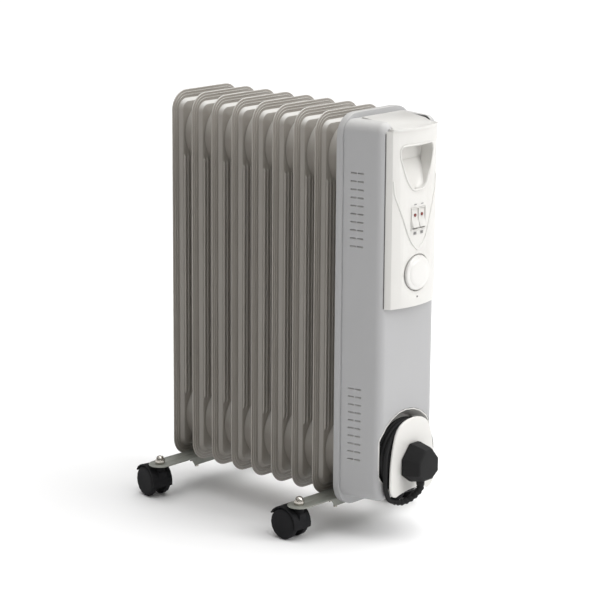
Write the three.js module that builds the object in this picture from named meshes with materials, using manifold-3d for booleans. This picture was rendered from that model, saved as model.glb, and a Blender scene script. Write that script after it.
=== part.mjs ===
// Oil-filled column heater: nine pressed steel fins on two headers, two castor
// brackets, and a control housing with a wound mains lead at one end.
// Millimetres. X runs along the fins towards the control end, Y across the fins,
// Z up from the floor. The last lines move the origin under the middle of the body.
import * as THREE from 'three';
import { mergeVertices } from 'three/addons/utils/BufferGeometryUtils.js';
import Module from 'manifold-3d';

const wasm = await Module();
wasm.setup();

// ---------------------------------------------------------------- dimensions

const GAP = 0.3; // clearance between pieces that touch
const ROUND = 16; // facets on a small round
const WIDE_ROUND = 24; // facets on a large round

const FIN_COUNT = 9;
const FIN_PITCH = 40;
const FIN_WIDTH = 138;
const FIN_HEIGHT = 554.5;
const FIN_CORNER = 28;
const FIN_SEAM = 1.8; // thickness of the welded edge
const FIN_RIM = 15.5; // width of the flat edge round the oil chamber
const CHAMBER_HALF = 8; // half the thickness of the oil chamber
const CHAMBER_SLOPE = 4;
const HEADER_INSET = 64; // header centre from the top and bottom of a fin
const HEADER_FOOT = 49; // radius of a header dome where it leaves the chamber
const HEADER_NECK = 36;
const END_DOME = 14; // how far the rear fin's closed domes stand out
const ELEMENT_BORE = 20; // bore of the lower header, for the heating element

const PLATE = 1.5; // foot bracket sheet
const BRACKET_WIDTH = 34;
const BRACKET_SKIRT = 12;
const BRACKET_SKIRT_END = 49; // from the castor stem to where the skirts begin
const FIN_SINK = 4.5; // how far the fins hang below the bracket's top
const U_BOLT_WIRE = 3; // radius
const U_BOLT_RADIUS = 41.5;
const U_BOLT_TAIL = 21; // thread below the bracket's top
const WING_NUT_HUB = 6;
const WING_NUT_HEIGHT = 6;
const WING_SPAN = 26;

const CASTOR_HEIGHT = 50; // floor to bracket
const CASTOR_OUTSET = 49; // stem beyond the edge of the fins
const CASTOR_TRAIL = 18; // axle behind the stem
const CASTOR_REST = [-12, 8, 0, -6]; // swivel of each castor as it stands, degrees
const WHEEL_RADIUS = 22.5;
const WHEEL_WIDTH = 9.6;
const TWIN_GAP = 14; // between the two wheels of a castor
const AXLE_RADIUS = 3;
const STEM_RADIUS = 4;
const STEM_COLLAR = 7.5;
const HOOD_GAP = 1.2;
const HOOD_WALL = 2;
const NUT_RADIUS = 7.6;
const NUT_HEIGHT = 6;
const NUT_DOME = 6.4;

const FLANGE_MARGIN = 3.5; // end frame beyond the fin all round
const FLANGE_STANDOFF = 3; // front fin's middle to the end frame
const FLANGE_DEPTH = 10;
const SHEET = 1.2; // housing sheet

const HOUSING_DEPTH = 61.7;
const HOUSING_HALF_WIDTH = 58;
const HOUSING_CORNER = 16;
const HOUSING_ROUND = 11; // radius of the rounded front edges
const HOUSING_FLARE = 12; // how much wider each side is at the back
const HOUSING_FLOOR_INSET = 12; // housing bottom above the fins' bottom
const HOUSING_TOP_INSET = 4; // housing top below the fins' top

const VENT_ROWS = 10;
const VENT_PITCH = 11.4;
const VENT_SLOT = 3;
const VENT_LENGTH = 20.4;
const VENT_SETBACK = 4; // from the housing's back
const VENT_TOP = 71; // first upper row below the housing's top
const VENT_BOTTOM = 11; // last lower row above the housing's bottom

const PANEL_DROP = 259; // panel's lower edge below the housing's top
const PANEL_EDGE = 8; // panel's side edges in front of the housing
const PANEL_CROWN = 8; // how far the middle bulges beyond the edges
const PANEL_HALF_FRONT = 45;
const PANEL_HALF_BASE = 54;
const PANEL_WALL = 2.5;
const CAP_HALF = 41.5;
const CAP_THICK = 2.5;
const VISOR_DROP = 12; // visor's lower edge below the housing's top
const VISOR_THICK = 4;
const VISOR_REACH = 5; // beyond the crown

const GRIP_TOP = 33; // below the housing's top
const GRIP_HEIGHT = 62;
const GRIP_HALF = 34;
const GRIP_DEPTH = 26;

const SWITCH_DROP = 135.5; // switch centre below the housing's top
const SWITCH_HEIGHT = 31;
const SWITCH_WIDTH = 30.4;
const SWITCH_DEPTH = 26;
const SWITCH_WALL = 1.1;
const ROCKER_WIDTH = 12.6;
const ROCKER_HEIGHT = 26;
const ROCKER_TILT = 9; // degrees each way
const ROCKER_AXIS = 6; // pivot behind the bezel's face

const KNOB_DROP = 212; // knob centre below the housing's top
const KNOB_RADIUS = 24.5;
const KNOB_SKIRT = 4;
const KNOB_DOME = 4;
const KNOB_WELL = 4.2; // depth of the round recess it sits in
const KNOB_WELL_GAP = 2.2;
const SPINDLE_RADIUS = 3;
const THERMOSTAT_SIZE = [18, 34, 32];

const WRAP_RISE = 60; // centre of the cord wrap above the housing's bottom
const CORD = 7; // diameter
const CORD_ROWS = 3;
const CORD_LAYERS = 2;
const COIL_RADIUS = 53.5;
const DISH_WALL = 1.5;
const DISH_RADIUS = 56.5;
const DISH_MOUTH = 62;
const DISH_MOUTH_RISE = 6;
const DISH_HALF_WIDTH = 54.3;
const CORE_RADIUS = 36;
const CORE_WALL = 3;
const WRAP_CAP_STANDOFF = 9.5; // cap plate in front of the housing
const WRAP_CAP_THICK = 4;
const WRAP_CAP_HALF = 48;
const WRAP_CAP_TOP = 57.5; // above the wrap's centre
const WRAP_CAP_BOTTOM = 53; // below it

const PLUG_DEPTH = 30;
const PLUG_HALF_WIDTH = 26;
const PLUG_HEIGHT = 55;
const PLUG_DROP = 6; // plug centre below the wrap's centre
const RELIEF_RADIUS = 6.2;
const GLAND_RADIUS = 5.5;
const GLAND_MOUTH = 30; // its face, from the wrap's middle towards +Y
const GLAND_LENGTH = 14;

const ELEMENT_WIRE = 4.2; // radius of a heating tube
const ELEMENT_FLANGE = 26;
const ELEMENT_FLANGE_THICK = 4;
const ELEMENT_HAIRPIN = 9; // half the distance between a hairpin's legs

// ------------------------------------------------------------- derived places

const STEM_Y = FIN_WIDTH / 2 + CASTOR_OUTSET;
const BRACKET_TOP = CASTOR_HEIGHT + PLATE;
const FIN_BOTTOM = BRACKET_TOP - FIN_SINK;
const FIN_TOP = FIN_BOTTOM + FIN_HEIGHT;
const LAST_FIN_X = (FIN_COUNT - 1) * FIN_PITCH;
const LOWER_HEADER_Z = FIN_BOTTOM + HEADER_INSET;
const UPPER_HEADER_Z = FIN_TOP - HEADER_INSET;
const NECK_END = FIN_PITCH / 2 - GAP / 2;
const FRAME_BACK = LAST_FIN_X + FLANGE_STANDOFF;
const FRAME_FRONT = FRAME_BACK + FLANGE_DEPTH;
const BOX_BACK = FRAME_FRONT + GAP;
const BOX_FRONT = BOX_BACK + HOUSING_DEPTH;
const BOX_BOTTOM = FIN_BOTTOM + HOUSING_FLOOR_INSET;
const BOX_TOP = FIN_TOP - HOUSING_TOP_INSET;
const PANEL_FRONT = BOX_FRONT + PANEL_EDGE;
const CROWN_FRONT = PANEL_FRONT + PANEL_CROWN;
const PANEL_BOTTOM = BOX_TOP - PANEL_DROP;
const VISOR_BOTTOM = BOX_TOP - VISOR_DROP;
const WRAP_Z = BOX_BOTTOM + WRAP_RISE;
const CAP_PLATE_X = BOX_FRONT + WRAP_CAP_STANDOFF;
const COIL_FRONT = CAP_PLATE_X - 0.8;
const COIL_BACK = COIL_FRONT - CORD_ROWS * CORD;
const LEAD_IN_X = COIL_BACK - GAP - CORD / 2;
const DISH_FLOOR = LEAD_IN_X - CORD / 2 - GAP;
const PLUG_BACK = CAP_PLATE_X + WRAP_CAP_THICK + GAP;
const PLUG_Z = WRAP_Z - PLUG_DROP;

// -------------------------------------------------------------------- helpers

const AXIS_X = new THREE.Vector3(1, 0, 0);
const AXIS_Y = new THREE.Vector3(0, 1, 0);
const AXIS_Z = new THREE.Vector3(0, 0, 1);

// Drops everything but position, joins shared corners and turns the faces outwards.
function weld(geometry) {
  const bare = geometry.index ? geometry.toNonIndexed() : geometry.clone();
  bare.deleteAttribute('normal');
  bare.deleteAttribute('uv');
  const merged = mergeVertices(bare, 1e-4);
  const source = merged.index.array;
  const kept = [];
  for (let i = 0; i < source.length; i += 3) {
    const [a, b, c] = [source[i], source[i + 1], source[i + 2]];
    if (a !== b && b !== c && c !== a) kept.push(a, b, c);
  }
  merged.setIndex(kept);
  if (signedVolume(merged) < 0) {
    for (let i = 0; i < kept.length; i += 3) [kept[i], kept[i + 1]] = [kept[i + 1], kept[i]];
    merged.setIndex(kept);
  }
  return merged;
}

function signedVolume(geometry) {
  const index = geometry.index.array;
  const corners = [new THREE.Vector3(), new THREE.Vector3(), new THREE.Vector3()];
  let volume = 0;
  for (let i = 0; i < index.length; i += 3) {
    corners.forEach((corner, k) => corner.fromBufferAttribute(geometry.attributes.position, index[i + k]));
    volume += corners[0].dot(corners[1].clone().cross(corners[2])) / 6;
  }
  return volume;
}

function toSolid(geometry) {
  const welded = weld(geometry);
  const mesh = new wasm.Mesh({
    numProp: 3,
    vertProperties: new Float32Array(welded.attributes.position.array),
    triVerts: new Uint32Array(welded.index.array),
  });
  return new wasm.Manifold(mesh);
}

function toGeometry(solid) {
  const mesh = solid.getMesh();
  const geometry = new THREE.BufferGeometry();
  geometry.setAttribute('position', new THREE.BufferAttribute(mesh.vertProperties, 3));
  geometry.setIndex(new THREE.BufferAttribute(mesh.triVerts, 1));
  return geometry;
}

function join(...geometries) {
  return toGeometry(geometries.map(toSolid).reduce((sum, solid) => sum.add(solid)));
}

function cut(geometry, ...tools) {
  return toGeometry(tools.map(toSolid).reduce((rest, tool) => rest.subtract(tool), toSolid(geometry)));
}

function overlap(first, second) {
  return toGeometry(toSolid(first).intersect(toSolid(second)));
}

function block(xRange, yRange, zRange) {
  const [x, y, z] = [xRange, yRange, zRange];
  const box = new THREE.BoxGeometry(x[1] - x[0], y[1] - y[0], z[1] - z[0]);
  return box.translate((x[0] + x[1]) / 2, (y[0] + y[1]) / 2, (z[0] + z[1]) / 2);
}

// A rounded rectangle in shape coordinates, from its lower left to its upper right corner.
function roundedRectangle(left, bottom, right, top, radius) {
  const shape = new THREE.Shape();
  shape.moveTo(left + radius, bottom);
  shape.lineTo(right - radius, bottom);
  shape.absarc(right - radius, bottom + radius, radius, -Math.PI / 2, 0, false);
  shape.lineTo(right, top - radius);
  shape.absarc(right - radius, top - radius, radius, 0, Math.PI / 2, false);
  shape.lineTo(left + radius, top);
  shape.absarc(left + radius, top - radius, radius, Math.PI / 2, Math.PI, false);
  shape.lineTo(left, bottom + radius);
  shape.absarc(left + radius, bottom + radius, radius, Math.PI, Math.PI * 1.5, false);
  return shape;
}

function polygon(points) {
  return new THREE.Shape(points.map(([x, y]) => new THREE.Vector2(x, y)));
}

// Extrudes a shape; a bevel rounds both ends inside the stated length and outline.
function slab(shape, length, bevel = 0, steps = 1, curveSegments = 5) {
  const geometry = new THREE.ExtrudeGeometry(shape, {
    depth: length - 2 * bevel,
    curveSegments,
    bevelEnabled: bevel > 0,
    bevelThickness: bevel,
    bevelSize: bevel,
    bevelOffset: -bevel,
    bevelSegments: steps,
  });
  return geometry.translate(0, 0, bevel);
}

// The shape's axes become Y and Z, and it runs from one X to the other.
function prismX(shape, from, to, bevel, steps, curveSegments) {
  const turn = new THREE.Matrix4().makeBasis(AXIS_Y, AXIS_Z, AXIS_X);
  return slab(shape, to - from, bevel, steps, curveSegments).applyMatrix4(turn).translate(from, 0, 0);
}

// The shape's axes become X and Z.
function prismY(shape, from, to, bevel, steps, curveSegments) {
  const turn = new THREE.Matrix4().makeBasis(AXIS_X, AXIS_Z, AXIS_Y.clone().negate());
  return slab(shape, to - from, bevel, steps, curveSegments).applyMatrix4(turn).translate(0, to, 0);
}

function prismZ(shape, from, to, curveSegments) {
  return slab(shape, to - from, 0, 1, curveSegments).translate(0, 0, from);
}

// Revolves [radius, distance along the axis] points about an axis of the object.
function turned(points, axis, segments) {
  const profile = points.map(([radius, along]) => new THREE.Vector2(radius, along));
  const geometry = new THREE.LatheGeometry(profile, segments);
  if (axis === 'x') geometry.applyMatrix4(new THREE.Matrix4().makeBasis(AXIS_Z, AXIS_X, AXIS_Y));
  if (axis === 'z') geometry.applyMatrix4(new THREE.Matrix4().makeBasis(AXIS_Y, AXIS_Z, AXIS_X));
  return geometry;
}

function rod(axis, radius, from, to, segments = ROUND) {
  return turned([[0, from], [radius, from], [radius, to], [0, to]], axis, segments);
}

// A round bar of the given radius swept along a curve.
function sweep(curve, radius, steps, sides) {
  const section = new THREE.Shape();
  for (let i = 0; i < sides; i += 1) {
    const angle = (i / sides) * Math.PI * 2;
    const point = [radius * Math.cos(angle), radius * Math.sin(angle)];
    if (i === 0) section.moveTo(...point);
    else section.lineTo(...point);
  }
  section.closePath();
  return new THREE.ExtrudeGeometry(section, { steps, extrudePath: curve, bevelEnabled: false });
}

// Two straight legs joined by a half circle: starts at a leg's end, unit speed.
class HairpinCurve extends THREE.Curve {
  constructor(centre, along, across, radius, leg) {
    super();
    Object.assign(this, { centre, along, across, radius, leg });
  }

  getPoint(t, target = new THREE.Vector3()) {
    const arc = Math.PI * this.radius;
    const s = t * (2 * this.leg + arc);
    let [u, v] = [-(this.leg - s), -this.radius];
    if (s > this.leg && s < this.leg + arc) {
      const angle = (s - this.leg) / this.radius;
      u = Math.sin(angle) * this.radius;
      v = -Math.cos(angle) * this.radius;
    } else if (s >= this.leg + arc) {
      u = -(s - this.leg - arc);
      v = this.radius;
    }
    return target.copy(this.centre).addScaledVector(this.along, u).addScaledVector(this.across, v);
  }
}

const root = new THREE.Group();

function finish(colour, roughness, metalness = 0) {
  return () => new THREE.MeshStandardMaterial({ color: colour, roughness, metalness });
}

const paintedSteel = finish(0xc9cbc8, 0.35, 0.1);
const housingPaint = finish(0xc4c5c8, 0.4, 0.1);
const whitePlastic = finish(0xe4e3e0, 0.35);
const knobPlastic = finish(0xd7dada, 0.3);
const blackPlastic = finish(0x101012, 0.4);
const blackRubber = finish(0x141416, 0.65);
const brightSteel = finish(0xb9b6b0, 0.25, 0.9);
const bracketSteel = finish(0x8f928c, 0.4, 0.5);
const darkSteel = finish(0x6d6c68, 0.5, 0.8);
const creamPlastic = finish(0xd8d2c0, 0.5);

function add(name, geometry, material, parent = root) {
  const mesh = new THREE.Mesh(weld(geometry), material());
  mesh.name = name;
  parent.add(mesh);
  return mesh;
}

// ----------------------------------------------------------------------- fins

function finPlate(inset, halfThickness, bevel, steps, curveSegments) {
  const corner = Math.max(FIN_CORNER - inset, 6);
  const outline = roundedRectangle(
    -FIN_WIDTH / 2 + inset, FIN_BOTTOM + inset, FIN_WIDTH / 2 - inset, FIN_TOP - inset, corner,
  );
  return prismX(outline, -halfThickness, halfThickness, bevel, steps, curveSegments);
}

// Both domes of one header as a single body of revolution, at the header's height.
function headerDomes(z, back, front) {
  const foot = CHAMBER_HALF * 0.8;
  const profile = [
    [0, -back], [HEADER_NECK, -back], [HEADER_FOOT, -foot], [HEADER_FOOT, foot],
    [HEADER_NECK, front], [0, front],
  ];
  return turned(profile, 'x', 14).translate(0, 0, z);
}

// A fin is solid: the oil that fills it is part of its body. The element's bore runs through it.
function fin(isRear) {
  const back = isRear ? END_DOME : NECK_END;
  const body = join(
    finPlate(0, FIN_SEAM / 2, 0, 1, 2),
    finPlate(FIN_RIM, CHAMBER_HALF, CHAMBER_SLOPE, 1, 1),
    ...[LOWER_HEADER_Z, UPPER_HEADER_Z].map((z) => headerDomes(z, back, NECK_END)),
  );
  const boreBack = isRear ? 0 : -NECK_END - 1;
  return cut(body, rod('x', ELEMENT_BORE, boreBack, NECK_END + 1, 8).translate(0, 0, LOWER_HEADER_Z));
}

function buildFins() {
  for (let i = 0; i < FIN_COUNT; i += 1) {
    const mesh = add(`fin_${i + 1}`, fin(i === 0), paintedSteel);
    mesh.position.x = i * FIN_PITCH;
  }
}

// -------------------------------------------------------- brackets and castors

const BRACKETS = [
  { name: 'rear', x: FIN_PITCH / 2 },
  { name: 'front', x: LAST_FIN_X - FIN_PITCH / 2 },
];

function footBracket() {
  const half = BRACKET_WIDTH / 2;
  const tip = STEM_Y + half;
  const plate = prismZ(roundedRectangle(-half, -tip, half, tip, half - 0.01), CASTOR_HEIGHT, BRACKET_TOP, 3);
  const end = STEM_Y - BRACKET_SKIRT_END;
  const low = BRACKET_TOP - BRACKET_SKIRT;
  const skirt = polygon([
    [-end, BRACKET_TOP - PLATE / 2], [-end + 8, low], [end - 8, low], [end, BRACKET_TOP - PLATE / 2],
  ]);
  const sides = [-half, half - PLATE].map((x) => prismX(skirt, x, x + PLATE));
  const holes = [-1, 1].flatMap((side) => [
    rod('z', STEM_RADIUS + GAP, CASTOR_HEIGHT - 1, BRACKET_TOP + 1, 12).translate(0, side * STEM_Y, 0),
    rod('z', U_BOLT_WIRE + GAP, CASTOR_HEIGHT - 1, BRACKET_TOP + 1, 12).translate(0, side * U_BOLT_RADIUS, 0),
  ]);
  return cut(join(plate, ...sides), ...holes);
}

function uBolt() {
  const leg = LOWER_HEADER_Z - (BRACKET_TOP - U_BOLT_TAIL);
  const centre = new THREE.Vector3(0, 0, LOWER_HEADER_Z);
  return sweep(new HairpinCurve(centre, AXIS_Z, AXIS_Y, U_BOLT_RADIUS, leg), U_BOLT_WIRE, 20, 8);
}

function wingNut() {
  const top = CASTOR_HEIGHT - GAP;
  const hub = rod('z', WING_NUT_HUB, top - WING_NUT_HEIGHT, top, 12);
  const wing = polygon([
    [-WING_SPAN / 2, top - WING_NUT_HEIGHT - 3], [-WING_SPAN / 2 + 7, top - WING_NUT_HEIGHT - 3],
    [0, top - 3], [WING_SPAN / 2 - 7, top - WING_NUT_HEIGHT - 3],
    [WING_SPAN / 2, top - WING_NUT_HEIGHT - 3], [WING_NUT_HUB, top - 1], [-WING_NUT_HUB, top - 1],
  ]);
  const hole = rod('z', U_BOLT_WIRE + GAP, top - 20, top + 1, 12);
  return cut(join(hub, prismX(wing, -1.2, 1.2)), hole);
}

function castorStem() {
  const collarTop = CASTOR_HEIGHT - GAP;
  return turned([
    [0, 24], [STEM_RADIUS, 24], [STEM_RADIUS, collarTop - 1.6], [STEM_COLLAR, collarTop - 1.6],
    [STEM_COLLAR, collarTop], [STEM_RADIUS, collarTop],
    [STEM_RADIUS, BRACKET_TOP + NUT_HEIGHT + 1], [0, BRACKET_TOP + NUT_HEIGHT + 1],
  ], 'z', 12);
}

function domeNut() {
  const base = BRACKET_TOP + GAP;
  const hexagon = rod('z', NUT_RADIUS, base, base + NUT_HEIGHT, 6);
  const dome = turned([
    [0, base + 1], [NUT_RADIUS * 0.82, base + 1], [NUT_RADIUS * 0.82, base + NUT_HEIGHT + 1],
    [NUT_RADIUS * 0.6, base + NUT_HEIGHT + NUT_DOME * 0.75], [0, base + NUT_HEIGHT + NUT_DOME],
  ], 'z', 12);
  return cut(join(hexagon, dome), rod('z', STEM_RADIUS + GAP, base - 1, base + NUT_HEIGHT + 1.4, 12));
}

// The castor's fixed half: a narrow web with the stem socket, and a hood over both wheels.
function castorBody() {
  const webHalf = TWIN_GAP / 2 - GAP;
  const hoodHalf = TWIN_GAP / 2 + WHEEL_WIDTH;
  const axleZ = WHEEL_RADIUS;
  const inner = WHEEL_RADIUS + HOOD_GAP;
  const outer = inner + HOOD_WALL;
  const hood = new THREE.Shape();
  const [from, to] = [THREE.MathUtils.degToRad(-12), THREE.MathUtils.degToRad(150)];
  hood.absarc(0, 0, outer, from, to, false);
  hood.absarc(0, 0, inner, to, from, true);
  hood.closePath();
  const hoodShell = prismY(hood, -hoodHalf, hoodHalf, 0, 1, 5).translate(-CASTOR_TRAIL, 0, axleZ);
  const hub = rod('y', 9, -webHalf, webHalf).translate(-CASTOR_TRAIL, 0, axleZ);
  const web = polygon([
    [-CASTOR_TRAIL - 8, axleZ - 4], [-CASTOR_TRAIL + 6, axleZ - 7], [6, 27],
    [7.6, 34], [7.6, 40], [-CASTOR_TRAIL - 2, axleZ + inner + 0.8],
  ]);
  const socketTop = CASTOR_HEIGHT - GAP - 1.6 - GAP;
  const socket = rod('z', webHalf, 34, socketTop);
  const body = join(hoodShell, hub, prismY(web, -webHalf, webHalf), socket);
  return cut(
    body,
    rod('z', STEM_RADIUS + GAP, 24 - GAP, CASTOR_HEIGHT, 12),
    block([-40, 40], [-40, 40], [socketTop, 60]),
    rod('y', AXLE_RADIUS + GAP, -40, 40, 12).translate(-CASTOR_TRAIL, 0, axleZ),
  );
}

function castorAxle() {
  const half = TWIN_GAP / 2 + WHEEL_WIDTH - 2.5;
  return rod('y', AXLE_RADIUS, -half, half, 12).translate(-CASTOR_TRAIL, 0, WHEEL_RADIUS);
}

// A wheel with a blind hub bore, its closed face outwards along Y.
function castorWheel(side) {
  const inner = TWIN_GAP / 2 + GAP;
  const outer = TWIN_GAP / 2 + WHEEL_WIDTH;
  const bore = AXLE_RADIUS + GAP;
  const profile = [
    [0, outer - 1.2], [WHEEL_RADIUS - 7, outer], [WHEEL_RADIUS - 1.6, outer], [WHEEL_RADIUS, outer - 1.8],
    [WHEEL_RADIUS, inner], [bore, inner], [bore, outer - 2.1], [0, outer - 2.1],
  ];
  const wheel = turned(profile.map(([radius, y]) => [radius, side * y]), 'y', 16);
  return wheel.translate(-CASTOR_TRAIL, 0, WHEEL_RADIUS);
}

function buildFeet() {
  BRACKETS.forEach(({ name, x }, row) => {
    const foot = new THREE.Group();
    foot.position.x = x;
    root.add(foot);
    add(`${name}_foot_bracket`, footBracket(), bracketSteel, foot);
    add(`${name}_u_bolt`, uBolt(), brightSteel, foot);
    [['near', -1], ['far', 1]].forEach(([sideName, side], column) => {
      const nut = add(`${name}_${sideName}_wing_nut`, wingNut(), brightSteel, foot);
      nut.position.y = side * U_BOLT_RADIUS;
      const castor = new THREE.Group();
      castor.position.y = side * STEM_Y;
      foot.add(castor);
      const label = `castor_${name}_${sideName}`;
      add(`${label}_stem`, castorStem(), brightSteel, castor);
      add(`${label}_dome_nut`, domeNut(), brightSteel, castor);
      const swivel = new THREE.Group();
      swivel.rotation.z = THREE.MathUtils.degToRad(CASTOR_REST[row * 2 + column]);
      castor.add(swivel);
      add(`${label}_body`, castorBody(), blackPlastic, swivel);
      add(`${label}_axle`, castorAxle(), brightSteel, swivel);
      add(`${label}_wheel_outer`, castorWheel(side), blackPlastic, swivel);
      add(`${label}_wheel_inner`, castorWheel(-side), blackPlastic, swivel);
    });
  });
}

// -------------------------------------------------------------------- housing

function endFrame() {
  const outline = (inset) => roundedRectangle(
    -FIN_WIDTH / 2 - FLANGE_MARGIN + inset, FIN_BOTTOM - FLANGE_MARGIN + inset,
    FIN_WIDTH / 2 + FLANGE_MARGIN - inset, FIN_TOP + FLANGE_MARGIN - inset,
    FIN_CORNER + FLANGE_MARGIN - inset,
  );
  const tray = prismX(outline(0), FRAME_BACK, FRAME_FRONT, 0, 1, 3);
  const hollow = prismX(outline(SHEET), FRAME_BACK - 1, FRAME_FRONT - SHEET, 0, 1, 3);
  const header = rod('x', HEADER_FOOT + 1, FRAME_BACK, FRAME_FRONT + 1, WIDE_ROUND);
  return cut(tray, hollow, ...[LOWER_HEADER_Z, UPPER_HEADER_Z].map((z) => header.clone().translate(0, 0, z)));
}

// The housing's outer form, grown or shrunk by the given amount. Its sides draw in towards the front.
function housingForm(grow) {
  const front = HOUSING_HALF_WIDTH + grow;
  const outline = roundedRectangle(
    -front, BOX_BOTTOM - grow, front, BOX_TOP + grow, HOUSING_CORNER + grow,
  );
  const bevel = HOUSING_ROUND + grow;
  const form = prismX(outline, BOX_BACK - bevel - 1, BOX_FRONT + grow, bevel, 3, 3);
  const position = form.attributes.position;
  for (let i = 0; i < position.count; i += 1) {
    const back = (BOX_FRONT - position.getX(i)) / HOUSING_DEPTH;
    position.setY(i, position.getY(i) * (1 + (HOUSING_FLARE * Math.max(back, 0)) / HOUSING_HALF_WIDTH));
  }
  return overlap(form, block([BOX_BACK - grow, BOX_FRONT + grow + 1], [-100, 100], [0, FIN_TOP + 20]));
}

function ventSlots() {
  const topRow = BOX_TOP - VENT_TOP;
  const bottomRow = BOX_BOTTOM + VENT_BOTTOM + (VENT_ROWS - 1) * VENT_PITCH;
  const reach = HOUSING_HALF_WIDTH + HOUSING_FLARE + 2;
  const slots = [];
  for (const first of [topRow, bottomRow]) {
    for (let row = 0; row < VENT_ROWS; row += 1) {
      const z = first - row * VENT_PITCH;
      const x = BOX_BACK + VENT_SETBACK;
      slots.push(block([x, x + VENT_LENGTH], [-reach, reach], [z - VENT_SLOT / 2, z + VENT_SLOT / 2]));
    }
  }
  return slots;
}

// A cup whose mouth is wider than its floor and lifted towards the top.
function dishForm(grow) {
  const mouthX = BOX_FRONT + 4;
  const form = turned([
    [0, DISH_FLOOR - grow], [DISH_RADIUS + grow, DISH_FLOOR - grow],
    [DISH_MOUTH + grow, mouthX], [0, mouthX],
  ], 'x', WIDE_ROUND);
  const position = form.attributes.position;
  for (let i = 0; i < position.count; i += 1) {
    if (position.getX(i) > BOX_FRONT) position.setZ(i, position.getZ(i) + DISH_MOUTH_RISE);
  }
  const half = DISH_HALF_WIDTH + grow;
  const band = block([DISH_FLOOR - 10, mouthX + 10], [-half, half], [-100, 100]);
  return overlap(form, band).translate(0, 0, WRAP_Z);
}

function panelWindow() {
  const [bottom, top] = [PANEL_BOTTOM + 8, BOX_TOP - 26];
  return block([BOX_FRONT - 3, BOX_FRONT + 3], [-40, 40], [bottom, top]);
}

function capRun(grow) {
  const back = BOX_BACK + 8 - grow;
  const shape = polygon([
    [back, BOX_TOP - 14], [back, BOX_TOP + 4], [BOX_FRONT + 1, BOX_TOP + 4], [BOX_FRONT + 1, BOX_TOP - 14],
  ]);
  return prismY(shape, -CAP_HALF - grow, CAP_HALF + grow);
}

function housingShell() {
  const backHalf = HOUSING_HALF_WIDTH - HOUSING_ROUND;
  const backOpening = block(
    [BOX_BACK - 2, BOX_BACK + 4], [-backHalf, backHalf],
    [LOWER_HEADER_Z - HEADER_FOOT + 2, UPPER_HEADER_Z + HEADER_FOOT - 2],
  );
  return cut(
    cut(housingForm(0), housingForm(-SHEET)), backOpening, panelWindow(), capRun(GAP),
    dishForm(DISH_WALL + GAP), ...ventSlots(),
  );
}

// -------------------------------------------------------------- control panel

// Plan outline of the panel: crowned front, drafted sides; its axes are X and Y.
function crownedPlan(inset, back) {
  const half = PANEL_HALF_FRONT - inset;
  const edge = PANEL_FRONT - inset;
  const base = PANEL_HALF_BASE - inset;
  const shape = new THREE.Shape();
  shape.moveTo(back, -base);
  shape.lineTo(BOX_FRONT - 4, -base);
  shape.lineTo(edge - 1, -half - 1.5);
  shape.quadraticCurveTo(edge + PANEL_CROWN * 2, 0, edge - 1, half + 1.5);
  shape.lineTo(BOX_FRONT - 4, base);
  shape.lineTo(back, base);
  shape.closePath();
  return shape;
}

function gripOutline(grow) {
  const top = BOX_TOP - GRIP_TOP + grow;
  const bottom = top - GRIP_HEIGHT - 2 * grow;
  const half = GRIP_HALF + grow;
  const shape = new THREE.Shape();
  shape.moveTo(0, bottom);
  shape.quadraticCurveTo(half * 0.45, bottom, half * 0.62, bottom + GRIP_HEIGHT * 0.3);
  shape.quadraticCurveTo(half, bottom + GRIP_HEIGHT * 0.6, half, top - 8);
  shape.quadraticCurveTo(half, top, half - 8, top);
  shape.lineTo(-half + 8, top);
  shape.quadraticCurveTo(-half, top, -half, top - 8);
  shape.quadraticCurveTo(-half, bottom + GRIP_HEIGHT * 0.6, -half * 0.62, bottom + GRIP_HEIGHT * 0.3);
  shape.quadraticCurveTo(-half * 0.45, bottom, 0, bottom);
  return shape;
}

function visor() {
  const shape = new THREE.Shape();
  const half = PANEL_HALF_FRONT + 2;
  shape.moveTo(BOX_FRONT - 12, -half);
  shape.lineTo(PANEL_FRONT, -half);
  shape.quadraticCurveTo(CROWN_FRONT + PANEL_CROWN + VISOR_REACH, 0, PANEL_FRONT, half);
  shape.lineTo(BOX_FRONT - 12, half);
  shape.closePath();
  return prismZ(shape, VISOR_BOTTOM, VISOR_BOTTOM + VISOR_THICK, 8);
}

function topCap() {
  const back = BOX_BACK + 8;
  const profile = polygon([
    [back, BOX_TOP - 0.5], [BOX_FRONT - 12, BOX_TOP - 5], [BOX_FRONT + 4, VISOR_BOTTOM + 1],
    [BOX_FRONT + 4, VISOR_BOTTOM + 3.5], [BOX_FRONT - 10, BOX_TOP - 5 + CAP_THICK],
    [back, BOX_TOP - 0.5 + CAP_THICK],
  ]);
  return prismY(profile, -CAP_HALF, CAP_HALF);
}

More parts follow.
